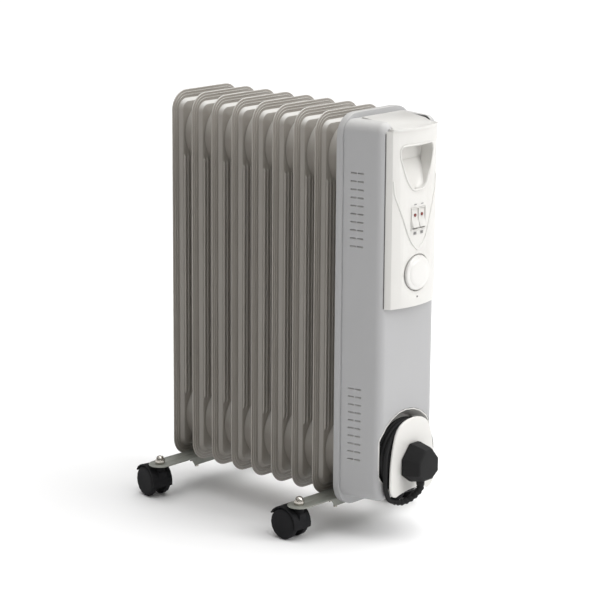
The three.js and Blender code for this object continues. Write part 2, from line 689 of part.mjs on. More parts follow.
function controlPanel() {
  const knobZ = BOX_TOP - KNOB_DROP;
  const switchZ = BOX_TOP - SWITCH_DROP;
  const wellFloor = CROWN_FRONT - KNOB_WELL;
  const wellRadius = KNOB_RADIUS + KNOB_WELL_GAP;
  const front = cut(
    prismZ(crownedPlan(0, BOX_FRONT - 14), PANEL_BOTTOM, VISOR_BOTTOM + 1, 12),
    housingForm(GAP),
    prismZ(crownedPlan(PANEL_WALL, BOX_FRONT - 30), PANEL_BOTTOM + PANEL_WALL, VISOR_BOTTOM - 2, 12),
  );
  const clip = prismZ(crownedPlan(0, BOX_FRONT - 40), PANEL_BOTTOM, VISOR_BOTTOM, 12);
  const bowlBack = CROWN_FRONT - GRIP_DEPTH - PANEL_WALL;
  const bowl = overlap(prismX(gripOutline(PANEL_WALL), bowlBack, CROWN_FRONT + 4), clip);
  const well = overlap(
    rod('x', wellRadius + PANEL_WALL, wellFloor - PANEL_WALL, CROWN_FRONT + 2, WIDE_ROUND)
      .translate(0, 0, knobZ), clip,
  );
  const halfHeight = SWITCH_HEIGHT / 2 + GAP;
  const halfWidth = SWITCH_WIDTH / 2 + GAP;
  return cut(
    join(front, bowl, well, cut(visor(), housingForm(GAP)), topCap()),
    prismX(gripOutline(0), CROWN_FRONT - GRIP_DEPTH, CROWN_FRONT + 20, 0, 1, 5),
    rod('x', wellRadius, wellFloor, CROWN_FRONT + 20, WIDE_ROUND).translate(0, 0, knobZ),
    rod('x', SPINDLE_RADIUS + 1.5, wellFloor - 10, wellFloor + 1, 12).translate(0, 0, knobZ),
    block(
      [BOX_FRONT, CROWN_FRONT + 5], [-halfWidth, halfWidth],
      [switchZ - halfHeight, switchZ + halfHeight],
    ),
  );
}

// The knob with the spindle moulded into its back.
function knob() {
  const skirtBack = CROWN_FRONT - KNOB_WELL + 0.8;
  const skirtFront = skirtBack + KNOB_SKIRT;
  const spindleEnd = BOX_FRONT - 2 + GAP;
  return turned([
    [0, spindleEnd], [SPINDLE_RADIUS, spindleEnd], [SPINDLE_RADIUS, skirtBack],
    [KNOB_RADIUS, skirtBack], [KNOB_RADIUS, skirtFront],
    [KNOB_RADIUS - 2, skirtFront + KNOB_DOME * 0.4], [KNOB_RADIUS * 0.55, skirtFront + KNOB_DOME * 0.85],
    [0, skirtFront + KNOB_DOME],
  ], 'x', WIDE_ROUND).translate(0, 0, BOX_TOP - KNOB_DROP);
}

function thermostatBack() {
  return BOX_FRONT - 2 - THERMOSTAT_SIZE[0];
}

function thermostat() {
  const [depth, width, height] = THERMOSTAT_SIZE;
  const z = BOX_TOP - KNOB_DROP;
  const back = thermostatBack();
  const body = block([back, back + depth - 4], [-width / 2, width / 2], [z - height / 2, z + height / 2]);
  const collar = rod('x', 6, back + depth - 5, back + depth).translate(0, 0, z);
  return join(body, collar);
}

function rockerCentres() {
  return [-1, 1].map((side) => side * (ROCKER_WIDTH / 2 + 0.9));
}

function switchHousing() {
  const z = BOX_TOP - SWITCH_DROP;
  const face = CROWN_FRONT + 0.4;
  const half = SWITCH_HEIGHT / 2;
  const shell = block(
    [face - SWITCH_DEPTH, face], [-SWITCH_WIDTH / 2, SWITCH_WIDTH / 2], [z - half, z + half],
  );
  const wells = rockerCentres().map((y) => block(
    [face - ROCKER_AXIS - 9, face + 1],
    [y - ROCKER_WIDTH / 2 - GAP, y + ROCKER_WIDTH / 2 + GAP],
    [z - half + SWITCH_WALL, z + half - SWITCH_WALL],
  ));
  return cut(shell, ...wells);
}

// One rocker about its own pivot; its axes are X and Z.
function rocker() {
  const half = ROCKER_HEIGHT / 2;
  const shape = polygon([
    [ROCKER_AXIS + 0.4, -half], [ROCKER_AXIS - 1.4, 0], [ROCKER_AXIS + 0.4, half],
    [0, half - 0.6], [-4.5, 6], [-6, 0], [-4.5, -6], [0, -half + 0.6],
  ]);
  return prismY(shape, -ROCKER_WIDTH / 2, ROCKER_WIDTH / 2);
}

function buildHousing() {
  add('end_frame', endFrame(), housingPaint);
  add('housing_shell', housingShell(), housingPaint);
  add('control_panel', controlPanel(), whitePlastic);
  add('thermostat_knob', knob(), knobPlastic);
  add('thermostat', thermostat(), creamPlastic);
  add('switch_housing', switchHousing(), whitePlastic);
  rockerCentres().forEach((y, i) => {
    const mesh = add(`power_rocker_${i + 1}`, rocker(), whitePlastic);
    mesh.position.set(CROWN_FRONT + 0.4 - ROCKER_AXIS, y, BOX_TOP - SWITCH_DROP);
    mesh.rotation.y = -THREE.MathUtils.degToRad(ROCKER_TILT);
  });
}

// ------------------------------------------------------------------ electrics

function heatingElement() {
  const back = LAST_FIN_X + NECK_END + GAP;
  const flange = rod('x', ELEMENT_FLANGE, back, back + ELEMENT_FLANGE_THICK, 12);
  const hairpins = [-1, 1].map((side) => {
    const reach = (side < 0 ? FIN_COUNT - 1.3 : FIN_COUNT - 2.6) * FIN_PITCH;
    const centre = new THREE.Vector3(back - reach, 0, side * 7);
    const along = AXIS_X.clone().negate();
    return sweep(new HairpinCurve(centre, along, AXIS_Y, ELEMENT_HAIRPIN, reach + 14), ELEMENT_WIRE, 12, 8);
  });
  return join(flange, ...hairpins).translate(0, 0, LOWER_HEADER_Z);
}

function buildElectrics() {
  const wall = FRAME_FRONT + GAP;
  add('heating_element', heatingElement(), darkSteel);
  add('terminal_block', cut(
    block([wall, wall + 16], [-24, 24], [BOX_BOTTOM + 160, BOX_BOTTOM + 178]),
    ...[-16, 0, 16].map((y) => rod('x', 3, wall + 6, wall + 20, 8).translate(0, y, BOX_BOTTOM + 169)),
  ), creamPlastic);
  add('thermal_cutout', join(
    rod('x', 8, wall, wall + 7, 12), rod('x', 4, wall + 6, wall + 12, 12),
  ).translate(0, -20, BOX_BOTTOM + 215), darkSteel);
  add('tilt_switch', join(
    block([wall, wall + 14], [12, 34], [BOX_BOTTOM + 200, BOX_BOTTOM + 232]),
    rod('x', 5, wall + 13, wall + 18, 12).translate(0, 23, BOX_BOTTOM + 216),
  ), blackPlastic);
}

// ------------------------------------------------------------- cord and plug

function cordDish() {
  const bowl = cut(
    overlap(dishForm(DISH_WALL), housingForm(0)), dishForm(0),
    block([BOX_FRONT - 40, BOX_FRONT + 5], [-80, 80], [0, BOX_BOTTOM + SHEET + GAP]),
  );
  const core = rod('x', CORE_RADIUS, DISH_FLOOR - DISH_WALL / 2, CAP_PLATE_X - GAP, WIDE_ROUND);
  const hollow = rod('x', CORE_RADIUS - CORE_WALL, DISH_FLOOR + 3, CAP_PLATE_X + 1, WIDE_ROUND);
  return cut(join(bowl, core.translate(0, 0, WRAP_Z), cordGland()), hollow.translate(0, 0, WRAP_Z));
}

// The sleeve in the dish's wall that the lead comes out of, towards -Y.
function cordGland() {
  const sleeve = rod('y', GLAND_RADIUS, GLAND_MOUTH, GLAND_MOUTH + GLAND_LENGTH, 12)
    .translate(LEAD_IN_X, 0, leadInZ());
  const clearance = block([COIL_BACK - GAP, CAP_PLATE_X], [0, DISH_MOUTH], [WRAP_Z, leadInZ() + DISH_MOUTH]);
  return cut(sleeve, clearance);
}

function innerTurnRadius() {
  return COIL_RADIUS - CORD * (CORD_LAYERS - 0.5);
}

function leadInZ() {
  return WRAP_Z + innerTurnRadius();
}

function wrapCap() {
  const half = WRAP_CAP_HALF;
  const shape = new THREE.Shape();
  shape.moveTo(0, -WRAP_CAP_BOTTOM + 6);
  shape.quadraticCurveTo(half * 0.4, -WRAP_CAP_BOTTOM + 5, half * 0.72, -WRAP_CAP_BOTTOM);
  shape.quadraticCurveTo(half, -WRAP_CAP_BOTTOM + 2, half, -WRAP_CAP_BOTTOM + 20);
  shape.quadraticCurveTo(half, 10, half * 0.78, 38);
  shape.quadraticCurveTo(half * 0.6, WRAP_CAP_TOP, 0, WRAP_CAP_TOP);
  shape.quadraticCurveTo(-half * 0.6, WRAP_CAP_TOP, -half * 0.78, 38);
  shape.quadraticCurveTo(-half, 10, -half, -WRAP_CAP_BOTTOM + 20);
  shape.quadraticCurveTo(-half, -WRAP_CAP_BOTTOM + 2, -half * 0.72, -WRAP_CAP_BOTTOM);
  shape.quadraticCurveTo(-half * 0.4, -WRAP_CAP_BOTTOM + 5, 0, -WRAP_CAP_BOTTOM + 6);
  const plate = prismX(shape, CAP_PLATE_X, CAP_PLATE_X + WRAP_CAP_THICK, 1.2, 1, 5);
  const slots = plugPins(GAP).map((pin) => pin.translate(0, 0, -PLUG_DROP));
  return cut(plate, ...slots).translate(0, 0, WRAP_Z);
}

// Three flat pins pointing back through the cap plate; the earth pin is uppermost.
function plugPins(grow) {
  const [from, to] = [PLUG_BACK - 17, PLUG_BACK + 1];
  const pin = (y, z, width, height) => block(
    [from, to], [y - width / 2 - grow, y + width / 2 + grow], [z - height / 2 - grow, z + height / 2 + grow],
  );
  return [pin(0, 13, 4, 8), pin(-11, -9, 6.3, 4), pin(11, -9, 6.3, 4)];
}

function plug() {
  const [w, h] = [PLUG_HALF_WIDTH, PLUG_HEIGHT / 2];
  const shape = polygon([
    [-10, -h], [10, -h], [w, -h + 12], [w, h - 20], [9, h], [-9, h], [-w, h - 20], [-w, -h + 12],
  ]);
  const body = prismX(shape, PLUG_BACK, PLUG_BACK + PLUG_DEPTH, 4, 1);
  return join(body, ...plugPins(0)).translate(0, 0, PLUG_Z);
}

const PLUG_MIDDLE_X = PLUG_BACK + 14;
const COIL_EDGE_Y = -(COIL_RADIUS - CORD / 2);
const FRONT_ROW_X = COIL_FRONT - CORD / 2;
const PLUG_FOOT_Z = PLUG_Z - PLUG_HEIGHT / 2 - GAP;

// Where the lead runs from the coil's outer turn, under the cap plate, to the relief.
const TAIL_POINTS = [
  [FRONT_ROW_X, COIL_EDGE_Y, WRAP_Z - 31], [FRONT_ROW_X, COIL_EDGE_Y + 0.6, WRAP_Z - 38],
  [FRONT_ROW_X + 0.2, COIL_EDGE_Y + 3, WRAP_Z - 46], [FRONT_ROW_X + 0.6, COIL_EDGE_Y + 8, WRAP_Z - 55.6],
  [FRONT_ROW_X + 2.8, COIL_EDGE_Y + 15, WRAP_Z - 59.6],
];
const RELIEF_POINTS = [
  [FRONT_ROW_X + 3.6, COIL_EDGE_Y + 17.4, WRAP_Z - 60.5], [FRONT_ROW_X + 9, COIL_EDGE_Y + 27, WRAP_Z - 61.5],
  [FRONT_ROW_X + 16, COIL_EDGE_Y + 39, WRAP_Z - 55], [PLUG_MIDDLE_X, -0.4, WRAP_Z - 43],
  [PLUG_MIDDLE_X, 0, PLUG_FOOT_Z - GAP],
];
const LEAD_IN_POINTS = [
  [LEAD_IN_X, GLAND_MOUTH - GAP, 0], [LEAD_IN_X, 23, 0], [LEAD_IN_X, 12, 0], [LEAD_IN_X, 0, 0],
];

function through(points) {
  return new THREE.CatmullRomCurve3(points.map((point) => new THREE.Vector3(...point)));
}

function buildCord() {
  add('cord_dish', cordDish(), whitePlastic);
  add('wrap_cap', wrapCap(), whitePlastic);
  const inner = COIL_RADIUS - CORD_LAYERS * CORD;
  add('cord_coil', turned([
    [inner, COIL_BACK], [COIL_RADIUS, COIL_BACK], [COIL_RADIUS, COIL_FRONT], [inner, COIL_FRONT],
    [inner, COIL_BACK],
  ], 'x', WIDE_ROUND).translate(0, 0, WRAP_Z), blackRubber);
  const leadIn = LEAD_IN_POINTS.map(([x, y]) => [x, y, leadInZ()]);
  add('cord_lead_in', sweep(through(leadIn), CORD / 2, 4, 10), blackRubber);
  add('cord_tail', sweep(through(TAIL_POINTS), CORD / 2, 8, 10), blackRubber);
  add('plug_strain_relief', sweep(through(RELIEF_POINTS), RELIEF_RADIUS, 10, 10), blackRubber);
  add('mains_plug', plug(), blackRubber);
}

// ------------------------------------------------------------------- assembly

const FREE_PIECES = ['cord_coil', 'cord_lead_in', 'cord_tail', 'plug_strain_relief', 'mains_plug'];

buildFins();
buildFeet();
buildHousing();
buildElectrics();
buildCord();

// Puts the origin on the floor under the middle of everything but the free lead.
root.updateMatrixWorld(true);
const body = new THREE.Box3();
root.traverse((item) => {
  if (item.isMesh && !FREE_PIECES.includes(item.name)) body.expandByObject(item, true);
});
const middle = body.getCenter(new THREE.Vector3());
root.position.set(-middle.x, -middle.y, -body.min.z);

export default root;
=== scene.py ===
"""Looks of a finned oil radiator on castors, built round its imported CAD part.

The script works in metres, in the part's own frame. The heater's sizes are written in
millimetres, as a maker writes them, and Datum turns them into places in the frame.
"""

import logging
from dataclasses import dataclass
from enum import Enum
from math import cos, pi, radians, sin, sqrt
from typing import Iterable, Sequence

import bmesh
import bpy
from mathutils import Matrix, Vector


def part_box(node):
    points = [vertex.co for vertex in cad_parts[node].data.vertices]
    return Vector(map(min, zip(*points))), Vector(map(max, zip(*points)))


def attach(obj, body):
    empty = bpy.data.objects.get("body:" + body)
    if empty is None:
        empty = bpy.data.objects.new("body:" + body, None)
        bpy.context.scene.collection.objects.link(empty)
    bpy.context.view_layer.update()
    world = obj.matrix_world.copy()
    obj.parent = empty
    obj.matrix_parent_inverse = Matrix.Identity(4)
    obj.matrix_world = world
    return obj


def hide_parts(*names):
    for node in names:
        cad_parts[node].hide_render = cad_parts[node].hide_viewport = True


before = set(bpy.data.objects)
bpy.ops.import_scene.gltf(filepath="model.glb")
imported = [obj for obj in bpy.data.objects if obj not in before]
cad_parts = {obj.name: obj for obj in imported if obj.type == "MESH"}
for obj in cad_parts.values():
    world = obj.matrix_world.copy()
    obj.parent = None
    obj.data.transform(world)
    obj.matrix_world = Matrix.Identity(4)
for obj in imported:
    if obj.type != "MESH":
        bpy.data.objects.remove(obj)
LOG = logging.getLogger("radiator")
MM = 0.001
BODY = "heater"
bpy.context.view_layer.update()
WELD = 1e-6
ARC_STEPS = 8
# Pale colour mixed onto upward faces: painted light from above.
TOP_LIGHT_COLOR = (0.72, 0.71, 0.68, 1.0)
Piece = bpy.types.Object
Point = tuple[float, float, float]
Outline = Sequence[tuple[float, float]]


class Datum:
    """Turns build sizes in millimetres into places in the frame."""

    REAR_DOME = 14.0
    FIN_HALF_WIDTH = 69.0

    def __init__(self) -> None:
        """Finds where the middle plane of the rear fin lies."""
        low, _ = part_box("fin_1")
        self.x = low.x + self.REAR_DOME * MM
        self.y = low.y + self.FIN_HALF_WIDTH * MM

    def at(self, x: float, y: float, z: float) -> Vector:
        """Gives a place in the frame.

        Args:
            x: Millimetres in front of the rear fin's middle plane.
            y: Millimetres from the middle, the far side positive.
            z: Millimetres above the floor.

        Returns:
            The same place in metres.
        """
        return Vector((self.x + x * MM, self.y + y * MM, z * MM))


DATUM = Datum()
at = DATUM.at


# --- materials


class Sheen(Enum):
    """How a surface throws light back, as roughness and coat weight."""

    MATT = (0.62, 0.0)
    SATIN = (0.40, 0.08)
    GLOSS = (0.26, 0.25)
    POLISHED = (0.16, 0.0)


def surface_group() -> bpy.types.ShaderNodeTree:
    """Builds the shared effect of a handled surface: mottling, fine grain and painted light that makes
    upward faces paler.

    Returns:
        The node group, with Color, Roughness and Height outputs.
    """
    tree = bpy.data.node_groups.new("handled_surface", "ShaderNodeTree")
    sockets = tree.interface
    for name, kind, value in (
        ("Color", "Color", (0.8, 0.8, 0.8, 1.0)),
        ("Tint", "Color", (0.6, 0.6, 0.6, 1.0)),
        ("Roughness", "Float", 0.4),
        ("Mottle", "Float", 0.1),
        ("Grain Scale", "Float", 900.0),
        ("Top Light", "Float", 0.05),
    ):
        socket = sockets.new_socket(name=name, in_out="INPUT", socket_type=f"NodeSocket{kind}")
        socket.default_value = value
    for name, kind in (("Color", "Color"), ("Roughness", "Float"), ("Height", "Float")):
        sockets.new_socket(name=name, in_out="OUTPUT", socket_type=f"NodeSocket{kind}")
    links, add = tree.links, tree.nodes.new
    given = add("NodeGroupInput")
    out = add("NodeGroupOutput")
    place = add("ShaderNodeTexCoord")
    cloud = add("ShaderNodeTexNoise")
    cloud.inputs["Scale"].default_value = 14.0
    cloud.inputs["Detail"].default_value = 5.0
    grain = add("ShaderNodeTexNoise")
    grain.inputs["Detail"].default_value = 2.0
    links.new(place.outputs["Object"], cloud.inputs["Vector"])
    links.new(place.outputs["Object"], grain.inputs["Vector"])
    links.new(given.outputs["Grain Scale"], grain.inputs["Scale"])
    amount = add("ShaderNodeMath")
    amount.operation = "MULTIPLY"
    links.new(cloud.outputs["Fac"], amount.inputs[0])
    links.new(given.outputs["Mottle"], amount.inputs[1])
    mix = add("ShaderNodeMix")
    mix.data_type = "RGBA"
    links.new(amount.outputs[0], mix.inputs["Factor"])
    links.new(given.outputs["Color"], mix.inputs["A"])
    links.new(given.outputs["Tint"], mix.inputs["B"])
    shape = add("ShaderNodeNewGeometry")
    split = add("ShaderNodeSeparateXYZ")
    links.new(shape.outputs["Normal"], split.inputs[0])
    # Painted light: the more a face points up, the more it is mixed towards the pale top colour.
    upward = add("ShaderNodeMath")
    upward.operation = "MULTIPLY"
    upward.use_clamp = True
    links.new(split.outputs["Z"], upward.inputs[0])
    links.new(given.outputs["Top Light"], upward.inputs[1])
    top_lit_mix = add("ShaderNodeMix")
    top_lit_mix.data_type = "RGBA"
    top_lit_mix.inputs["B"].default_value = TOP_LIGHT_COLOR
    links.new(upward.outputs[0], top_lit_mix.inputs["Factor"])
    links.new(mix.outputs["Result"], top_lit_mix.inputs["A"])
    links.new(top_lit_mix.outputs["Result"], out.inputs["Color"])
    rough = add("ShaderNodeMath")
    rough.operation = "MULTIPLY_ADD"
    rough.inputs[1].default_value = 0.12
    links.new(cloud.outputs["Fac"], rough.inputs[0])
    links.new(given.outputs["Roughness"], rough.inputs[2])
    links.new(rough.outputs[0], out.inputs["Roughness"])
    links.new(grain.outputs["Fac"], out.inputs["Height"])
    return tree


@dataclass(frozen=True)
class Finish:
    """One finish of the heater, as a maker would order it."""

    name: str
    slot: str
    color: tuple[float, float, float]
    sheen: Sheen = Sheen.SATIN
    metallic: float = 0.0
    tint: tuple[float, float, float] = (0.5, 0.48, 0.44)
    mottle: float = 0.12
    grain_scale: float = 1400.0
    grain_depth: float = 0.04
    # How strongly upward faces are painted paler, as painted light from above.
    top_light_strength: float = 0.04
    specular: float = 0.5

    def material(self) -> bpy.types.Material:
        """Builds the finish's material, the first time it is asked for.

        Returns:
            The material.
        """
        known = bpy.data.materials.get(self.name)
        if known:
            return known
        material = bpy.data.materials.new(self.name)
        material.use_nodes = True
        nodes, links = material.node_tree.nodes, material.node_tree.links
        shader = nodes["Principled BSDF"]
        roughness, coat = self.sheen.value
        shader.inputs["Metallic"].default_value = self.metallic
        shader.inputs["Coat Weight"].default_value = coat
        shader.inputs["Coat Roughness"].default_value = 0.2
        shader.inputs["Specular IOR Level"].default_value = self.specular
        group = nodes.new("ShaderNodeGroup")
        group.node_tree = bpy.data.node_groups.get("handled_surface") or surface_group()
        for name, value in (
            ("Color", (*self.color, 1.0)),
            ("Tint", (*self.tint, 1.0)),
            ("Roughness", roughness),
            ("Mottle", self.mottle),
            ("Grain Scale", self.grain_scale),
            ("Top Light", self.top_light_strength),
        ):
            group.inputs[name].default_value = value
        bump = nodes.new("ShaderNodeBump")
        bump.inputs["Strength"].default_value = self.grain_depth
        bump.inputs["Distance"].default_value = 0.0004
        links.new(group.outputs["Color"], shader.inputs["Base Color"])
        links.new(group.outputs["Roughness"], shader.inputs["Roughness"])
        links.new(group.outputs["Height"], bump.inputs["Height"])
        links.new(bump.outputs["Normal"], shader.inputs["Normal"])
        return material


# The fins' and housing's tops get strong painted light from above; the black parts and the floor get none.
FIN_PAINT = Finish("fin_powder_coat", "fin_paint", (0.335, 0.312, 0.282), Sheen.GLOSS,
                   tint=(0.26, 0.235, 0.2), mottle=0.3, top_light_strength=1.1)
HOUSING_PAINT = Finish("housing_powder_coat", "housing_paint", (0.40, 0.40, 0.405),
                       tint=(0.3, 0.3, 0.3), top_light_strength=0.5)
WHITE_PLASTIC = Finish("white_moulding", "white_plastic", (0.66, 0.65, 0.625), Sheen.GLOSS, mottle=0.06)
KNOB_PLASTIC = Finish("knob_moulding", "knob_plastic", (0.70, 0.69, 0.67), Sheen.GLOSS, mottle=0.06)
MARK_INK = Finish("grey_mark_ink", "white_plastic", (0.18, 0.18, 0.19), Sheen.MATT)
NEON_LENS = Finish("dark_red_lens", "white_plastic", (0.16, 0.012, 0.010), Sheen.POLISHED)
BLACK_PLASTIC = Finish("castor_black", "black_plastic", (0.006, 0.006, 0.007), Sheen.MATT,
                       tint=(0.01, 0.01, 0.012), mottle=0.4, grain_depth=0.2, top_light_strength=0.0, specular=0.22)
BLACK_RUBBER = Finish("cord_black", "black_rubber", (0.006, 0.006, 0.0065), Sheen.MATT,
                      tint=(0.01, 0.01, 0.01), mottle=0.4, grain_depth=0.1, top_light_strength=0.0, specular=0.3)
BRIGHT_STEEL = Finish("zinc_plate", "bright_steel", (0.56, 0.54, 0.5), Sheen.POLISHED, metallic=1.0,
                      tint=(0.4, 0.32, 0.22), mottle=0.3)
BRACKET_STEEL = Finish("bracket_coat", "bracket_steel", (0.30, 0.31, 0.28), metallic=0.3,
                       tint=(0.2, 0.2, 0.17), mottle=0.4)
DARK_STEEL = Finish("element_sheath", "dark_steel", (0.14, 0.14, 0.15), metallic=1.0, mottle=0.4)
CREAM_PLASTIC = Finish("heat_moulding", "cream_plastic", (0.62, 0.55, 0.42), Sheen.MATT)
# Near-black painted shade: the sheet inside the housing and the lines in the gaps beside the panel.
INNER_SHADE = Finish("painted_inner_shade", "housing_paint", (0.07, 0.07, 0.07), Sheen.MATT)
BACKDROP = Finish("studio_floor", "white_plastic", (0.93, 0.93, 0.93), Sheen.MATT, mottle=0.02, top_light_strength=0.0)


# --- mesh building


def linked(name: str, data: bpy.types.ID) -> Piece:
    """Makes an object of some data and links it to the scene.

    Args:
        name: The object's name.
        data: Its mesh, curve, light or camera.

    Returns:
        The new object.
    """
    made = bpy.data.objects.new(name, data)
    bpy.context.scene.collection.objects.link(made)
    return made


def mesh_piece(name: str, vertices: Iterable[Sequence[float]], faces: Iterable[Sequence[int]],
               smooth_degrees: float = 35.0) -> Piece:
    """Makes a mesh object from places in the frame.

    Args:
        name: The piece's name.
        vertices: Places in metres.
        faces: Corner indices of each face.
        smooth_degrees: Edges flatter than this are shaded smooth.

    Returns:
        The new object, linked to the scene.
    """
    mesh = bpy.data.meshes.new(name)
    mesh.from_pydata([tuple(v) for v in vertices], [], [tuple(f) for f in faces])
    tidy_mesh(mesh, smooth_degrees)
    return linked(name, mesh)


def tidy_mesh(mesh: bpy.types.Mesh, smooth_degrees: float) -> None:
    """Welds a mesh, turns its faces outwards and marks its sharp edges.

    Args:
        mesh: The mesh to tidy in place.
        smooth_degrees: Edges flatter than this are shaded smooth.
    """
    work = bmesh.new()
    work.from_mesh(mesh)
    bmesh.ops.remove_doubles(work, verts=work.verts, dist=WELD)
    bmesh.ops.recalc_face_normals(work, faces=work.faces)
    limit = radians(smooth_degrees)
    for face in work.faces:
        face.smooth = True
    for edge in work.edges:
        edge.smooth = len(edge.link_faces) == 2 and edge.calc_face_angle(pi) < limit
    work.to_mesh(mesh)
    work.free()


def bevelled(piece: Piece, width: float, segments: int = 2, angle: float = 35.0) -> Piece:
    """Rounds a piece's sharp edges.

    Args:
        piece: The piece to work on.
        width: Size of the rounding.
        segments: Facets across it.
        angle: Only edges sharper than this are rounded, in degrees.

    Returns:
        The same piece.
    """
    rounding = piece.modifiers.new("edge_rounding", "BEVEL")
    rounding.width = width * MM
    rounding.segments = segments
    rounding.limit_method = "ANGLE"
    rounding.angle_limit = radians(angle)
    settle(piece)
    tidy_mesh(piece.data, angle + 5.0)
    return piece


def settle(piece: Piece) -> None:
    """Turns a piece's modifiers into its mesh.

    Args:
        piece: The piece to work on.
    """
    graph = bpy.context.evaluated_depsgraph_get()
    graph.update()
    settled = bpy.data.meshes.new_from_object(piece.evaluated_get(graph))
    piece.modifiers.clear()
    piece.data = settled


def carved(piece: Piece, *tools: Piece) -> Piece:
    """Cuts tools out of a piece and removes the tools.

    Args:
        piece: The piece that is cut.
        tools: Closed meshes to take away.

    Returns:
        The same piece.
    """
    for tool in tools:
        cut = piece.modifiers.new("cut", "BOOLEAN")
        cut.operation = "DIFFERENCE"
        cut.solver = "EXACT"
        cut.object = tool
        settle(piece)
        bpy.data.objects.remove(tool)
    return piece


def one_mesh(name: str, pieces: Sequence[Piece]) -> Piece:
    """Joins several meshes into one object.

    Args:
        name: The joined object's name.
        pieces: The objects to join, which are removed.

    Returns:
        The joined object.
    """
    work = bmesh.new()
    for piece in pieces:
        work.from_mesh(piece.data)
    mesh = bpy.data.meshes.new(name)
    work.to_mesh(mesh)
    work.free()
    for piece in pieces:
        bpy.data.objects.remove(piece)
    return linked(name, mesh)


def box_mm(name: str, low: Point, high: Point) -> Piece:
    """Makes a box.

    Args:
        name: The piece's name.
        low: Its lowest corner.
        high: Its highest corner.

    Returns:
        The new piece.
    """
    corners = [at(x, y, z) for x in (low[0], high[0]) for y in (low[1], high[1]) for z in (low[2], high[2])]
    faces = [(0, 1, 3, 2), (4, 6, 7, 5), (0, 4, 5, 1), (2, 3, 7, 6), (0, 2, 6, 4), (1, 5, 7, 3)]
    return mesh_piece(name, corners, faces)


def lofted(name: str, rings: Sequence[Sequence[Vector]], smooth_degrees: float = 35.0) -> Piece:
    """Skins a row of closed rings and closes both ends with a flat face.

    Args:
        name: The piece's name.
        rings: Rings with the same number of places each.
        smooth_degrees: Edges flatter than this are shaded smooth.

    Returns:
        The new piece.
    """
    count = len(rings[0])
    vertices = [place for ring in rings for place in ring]
    faces: list[tuple[int, ...]] = []
    for row in range(len(rings) - 1):
        for i in range(count):
            j = (i + 1) % count
            faces.append((row * count + i, row * count + j, (row + 1) * count + j, (row + 1) * count + i))
    last = (len(rings) - 1) * count
    faces.append(tuple(range(count)))
    faces.append(tuple(last + i for i in reversed(range(count))))
    return mesh_piece(name, vertices, faces, smooth_degrees)


def lathe_x(name: str, profile: Outline, y: float, z: float, segments: int = 64,
            smooth_degrees: float = 35.0) -> Piece:
    """Turns a profile about a line along X.

    Args:
        name: The piece's name.
        profile: (radius, x) pairs, from one end to the other.
        y: Where the axis lies across.
        z: How high the axis lies.
        segments: Facets round the axis.
        smooth_degrees: Edges flatter than this are shaded smooth.

    Returns:
        The new piece.
    """
    rings = []
    for radius, x in profile:
        reach = max(radius, 0.001)
        turns = [2 * pi * i / segments for i in range(segments)]
        rings.append([at(x, y + reach * sin(a), z + reach * cos(a)) for a in turns])
    return lofted(name, rings, smooth_degrees)


def tube(name: str, places: Sequence[Vector], radii: Sequence[float], sides: int = 20) -> Piece:
    """Makes a tube whose radius changes along its line.

    Args:
        name: The piece's name.
        places: Places along the middle, in metres.
        radii: Radius at each place.
        sides: Facets round the tube.

    Returns:
        The new piece.
    """
    rings = []
    ahead = (places[1] - places[0]).normalized()
    across = ahead.orthogonal().normalized()
    for i, place in enumerate(places):
        before, after = places[max(i - 1, 0)], places[min(i + 1, len(places) - 1)]
        ahead = (after - before).normalized()
        across = (across - ahead * across.dot(ahead)).normalized()
        other = ahead.cross(across)
        turns = [2 * pi * k / sides for k in range(sides)]
        rings.append([place + (across * cos(a) + other * sin(a)) * radii[i] * MM for a in turns])
    return lofted(name, rings, 50.0)


def curve_through(places: Sequence[Vector], steps: int) -> list[Vector]:
    """Draws a smooth line through places.

    Args:
        places: Places to pass through.
        steps: Points between two places.

    Returns:
        Points along the line, both ends included.
    """
    padded = [places[0] * 2 - places[1], *places, places[-1] * 2 - places[-2]]
    line = []
    for i in range(1, len(padded) - 2):
        a, b, c, d = padded[i - 1: i + 3]
        for k in range(steps):
            t = k / steps
            line.append(0.5 * (2 * b + (c - a) * t + (2 * a - 5 * b + 4 * c - d) * t * t
                               + (3 * b - a - 3 * c + d) * t * t * t))
    line.append(places[-1])
    return line


def eased(share: float) -> float:
    """Holds a share between 0 and 1 and softens its start and end."""
    t = min(max(share, 0.0), 1.0)
    return t * t * (3 - 2 * t)


def corner_arc(quarter: int, half: float, low: float, high: float,
               radius: float) -> Outline:
    """Draws one rounded corner of an upright rectangle.

    Args:
        quarter: Which corner, counted from the upper far one by way of the upper near one.
        half: The rectangle's half width.
        low: Its lower edge.
        high: Its upper edge.
        radius: The corner's radius.

    Returns:
        The (y, z) places of the arc.
    """
    side, end = ((1, 1), (-1, 1), (-1, -1), (1, -1))[quarter]
    y = side * (half - radius)
    z = high - radius if end > 0 else low + radius
    turns = [radians(90 * quarter + 90 * k / ARC_STEPS) for k in range(ARC_STEPS + 1)]
    return [(y + radius * cos(a), z + radius * sin(a)) for a in turns]


def copy_of(node: str, name: str, bevel: float = 0.0, angle: float = 30.0) -> Piece:
    """Copies a CAD node's shape as a new piece with soft edges.

    Args:
        node: The CAD node.
        name: The new piece's name.
        bevel: Rounding of its edges, or 0 for none.
        angle: Edges flatter than this are shaded smooth, in degrees.

    Returns:
        The new piece, which isn't riding yet.
    """
    piece = linked(name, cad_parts[node].data.copy())
    work = bmesh.new()
    work.from_mesh(piece.data)
    bmesh.ops.remove_doubles(work, verts=work.verts, dist=2 * WELD)
    bmesh.ops.dissolve_limit(work, angle_limit=radians(0.8), verts=work.verts, edges=work.edges)
    work.to_mesh(piece.data)
    work.free()
    tidy_mesh(piece.data, angle)
    if bevel:
        bevelled(piece, bevel, 2, angle)
    return piece


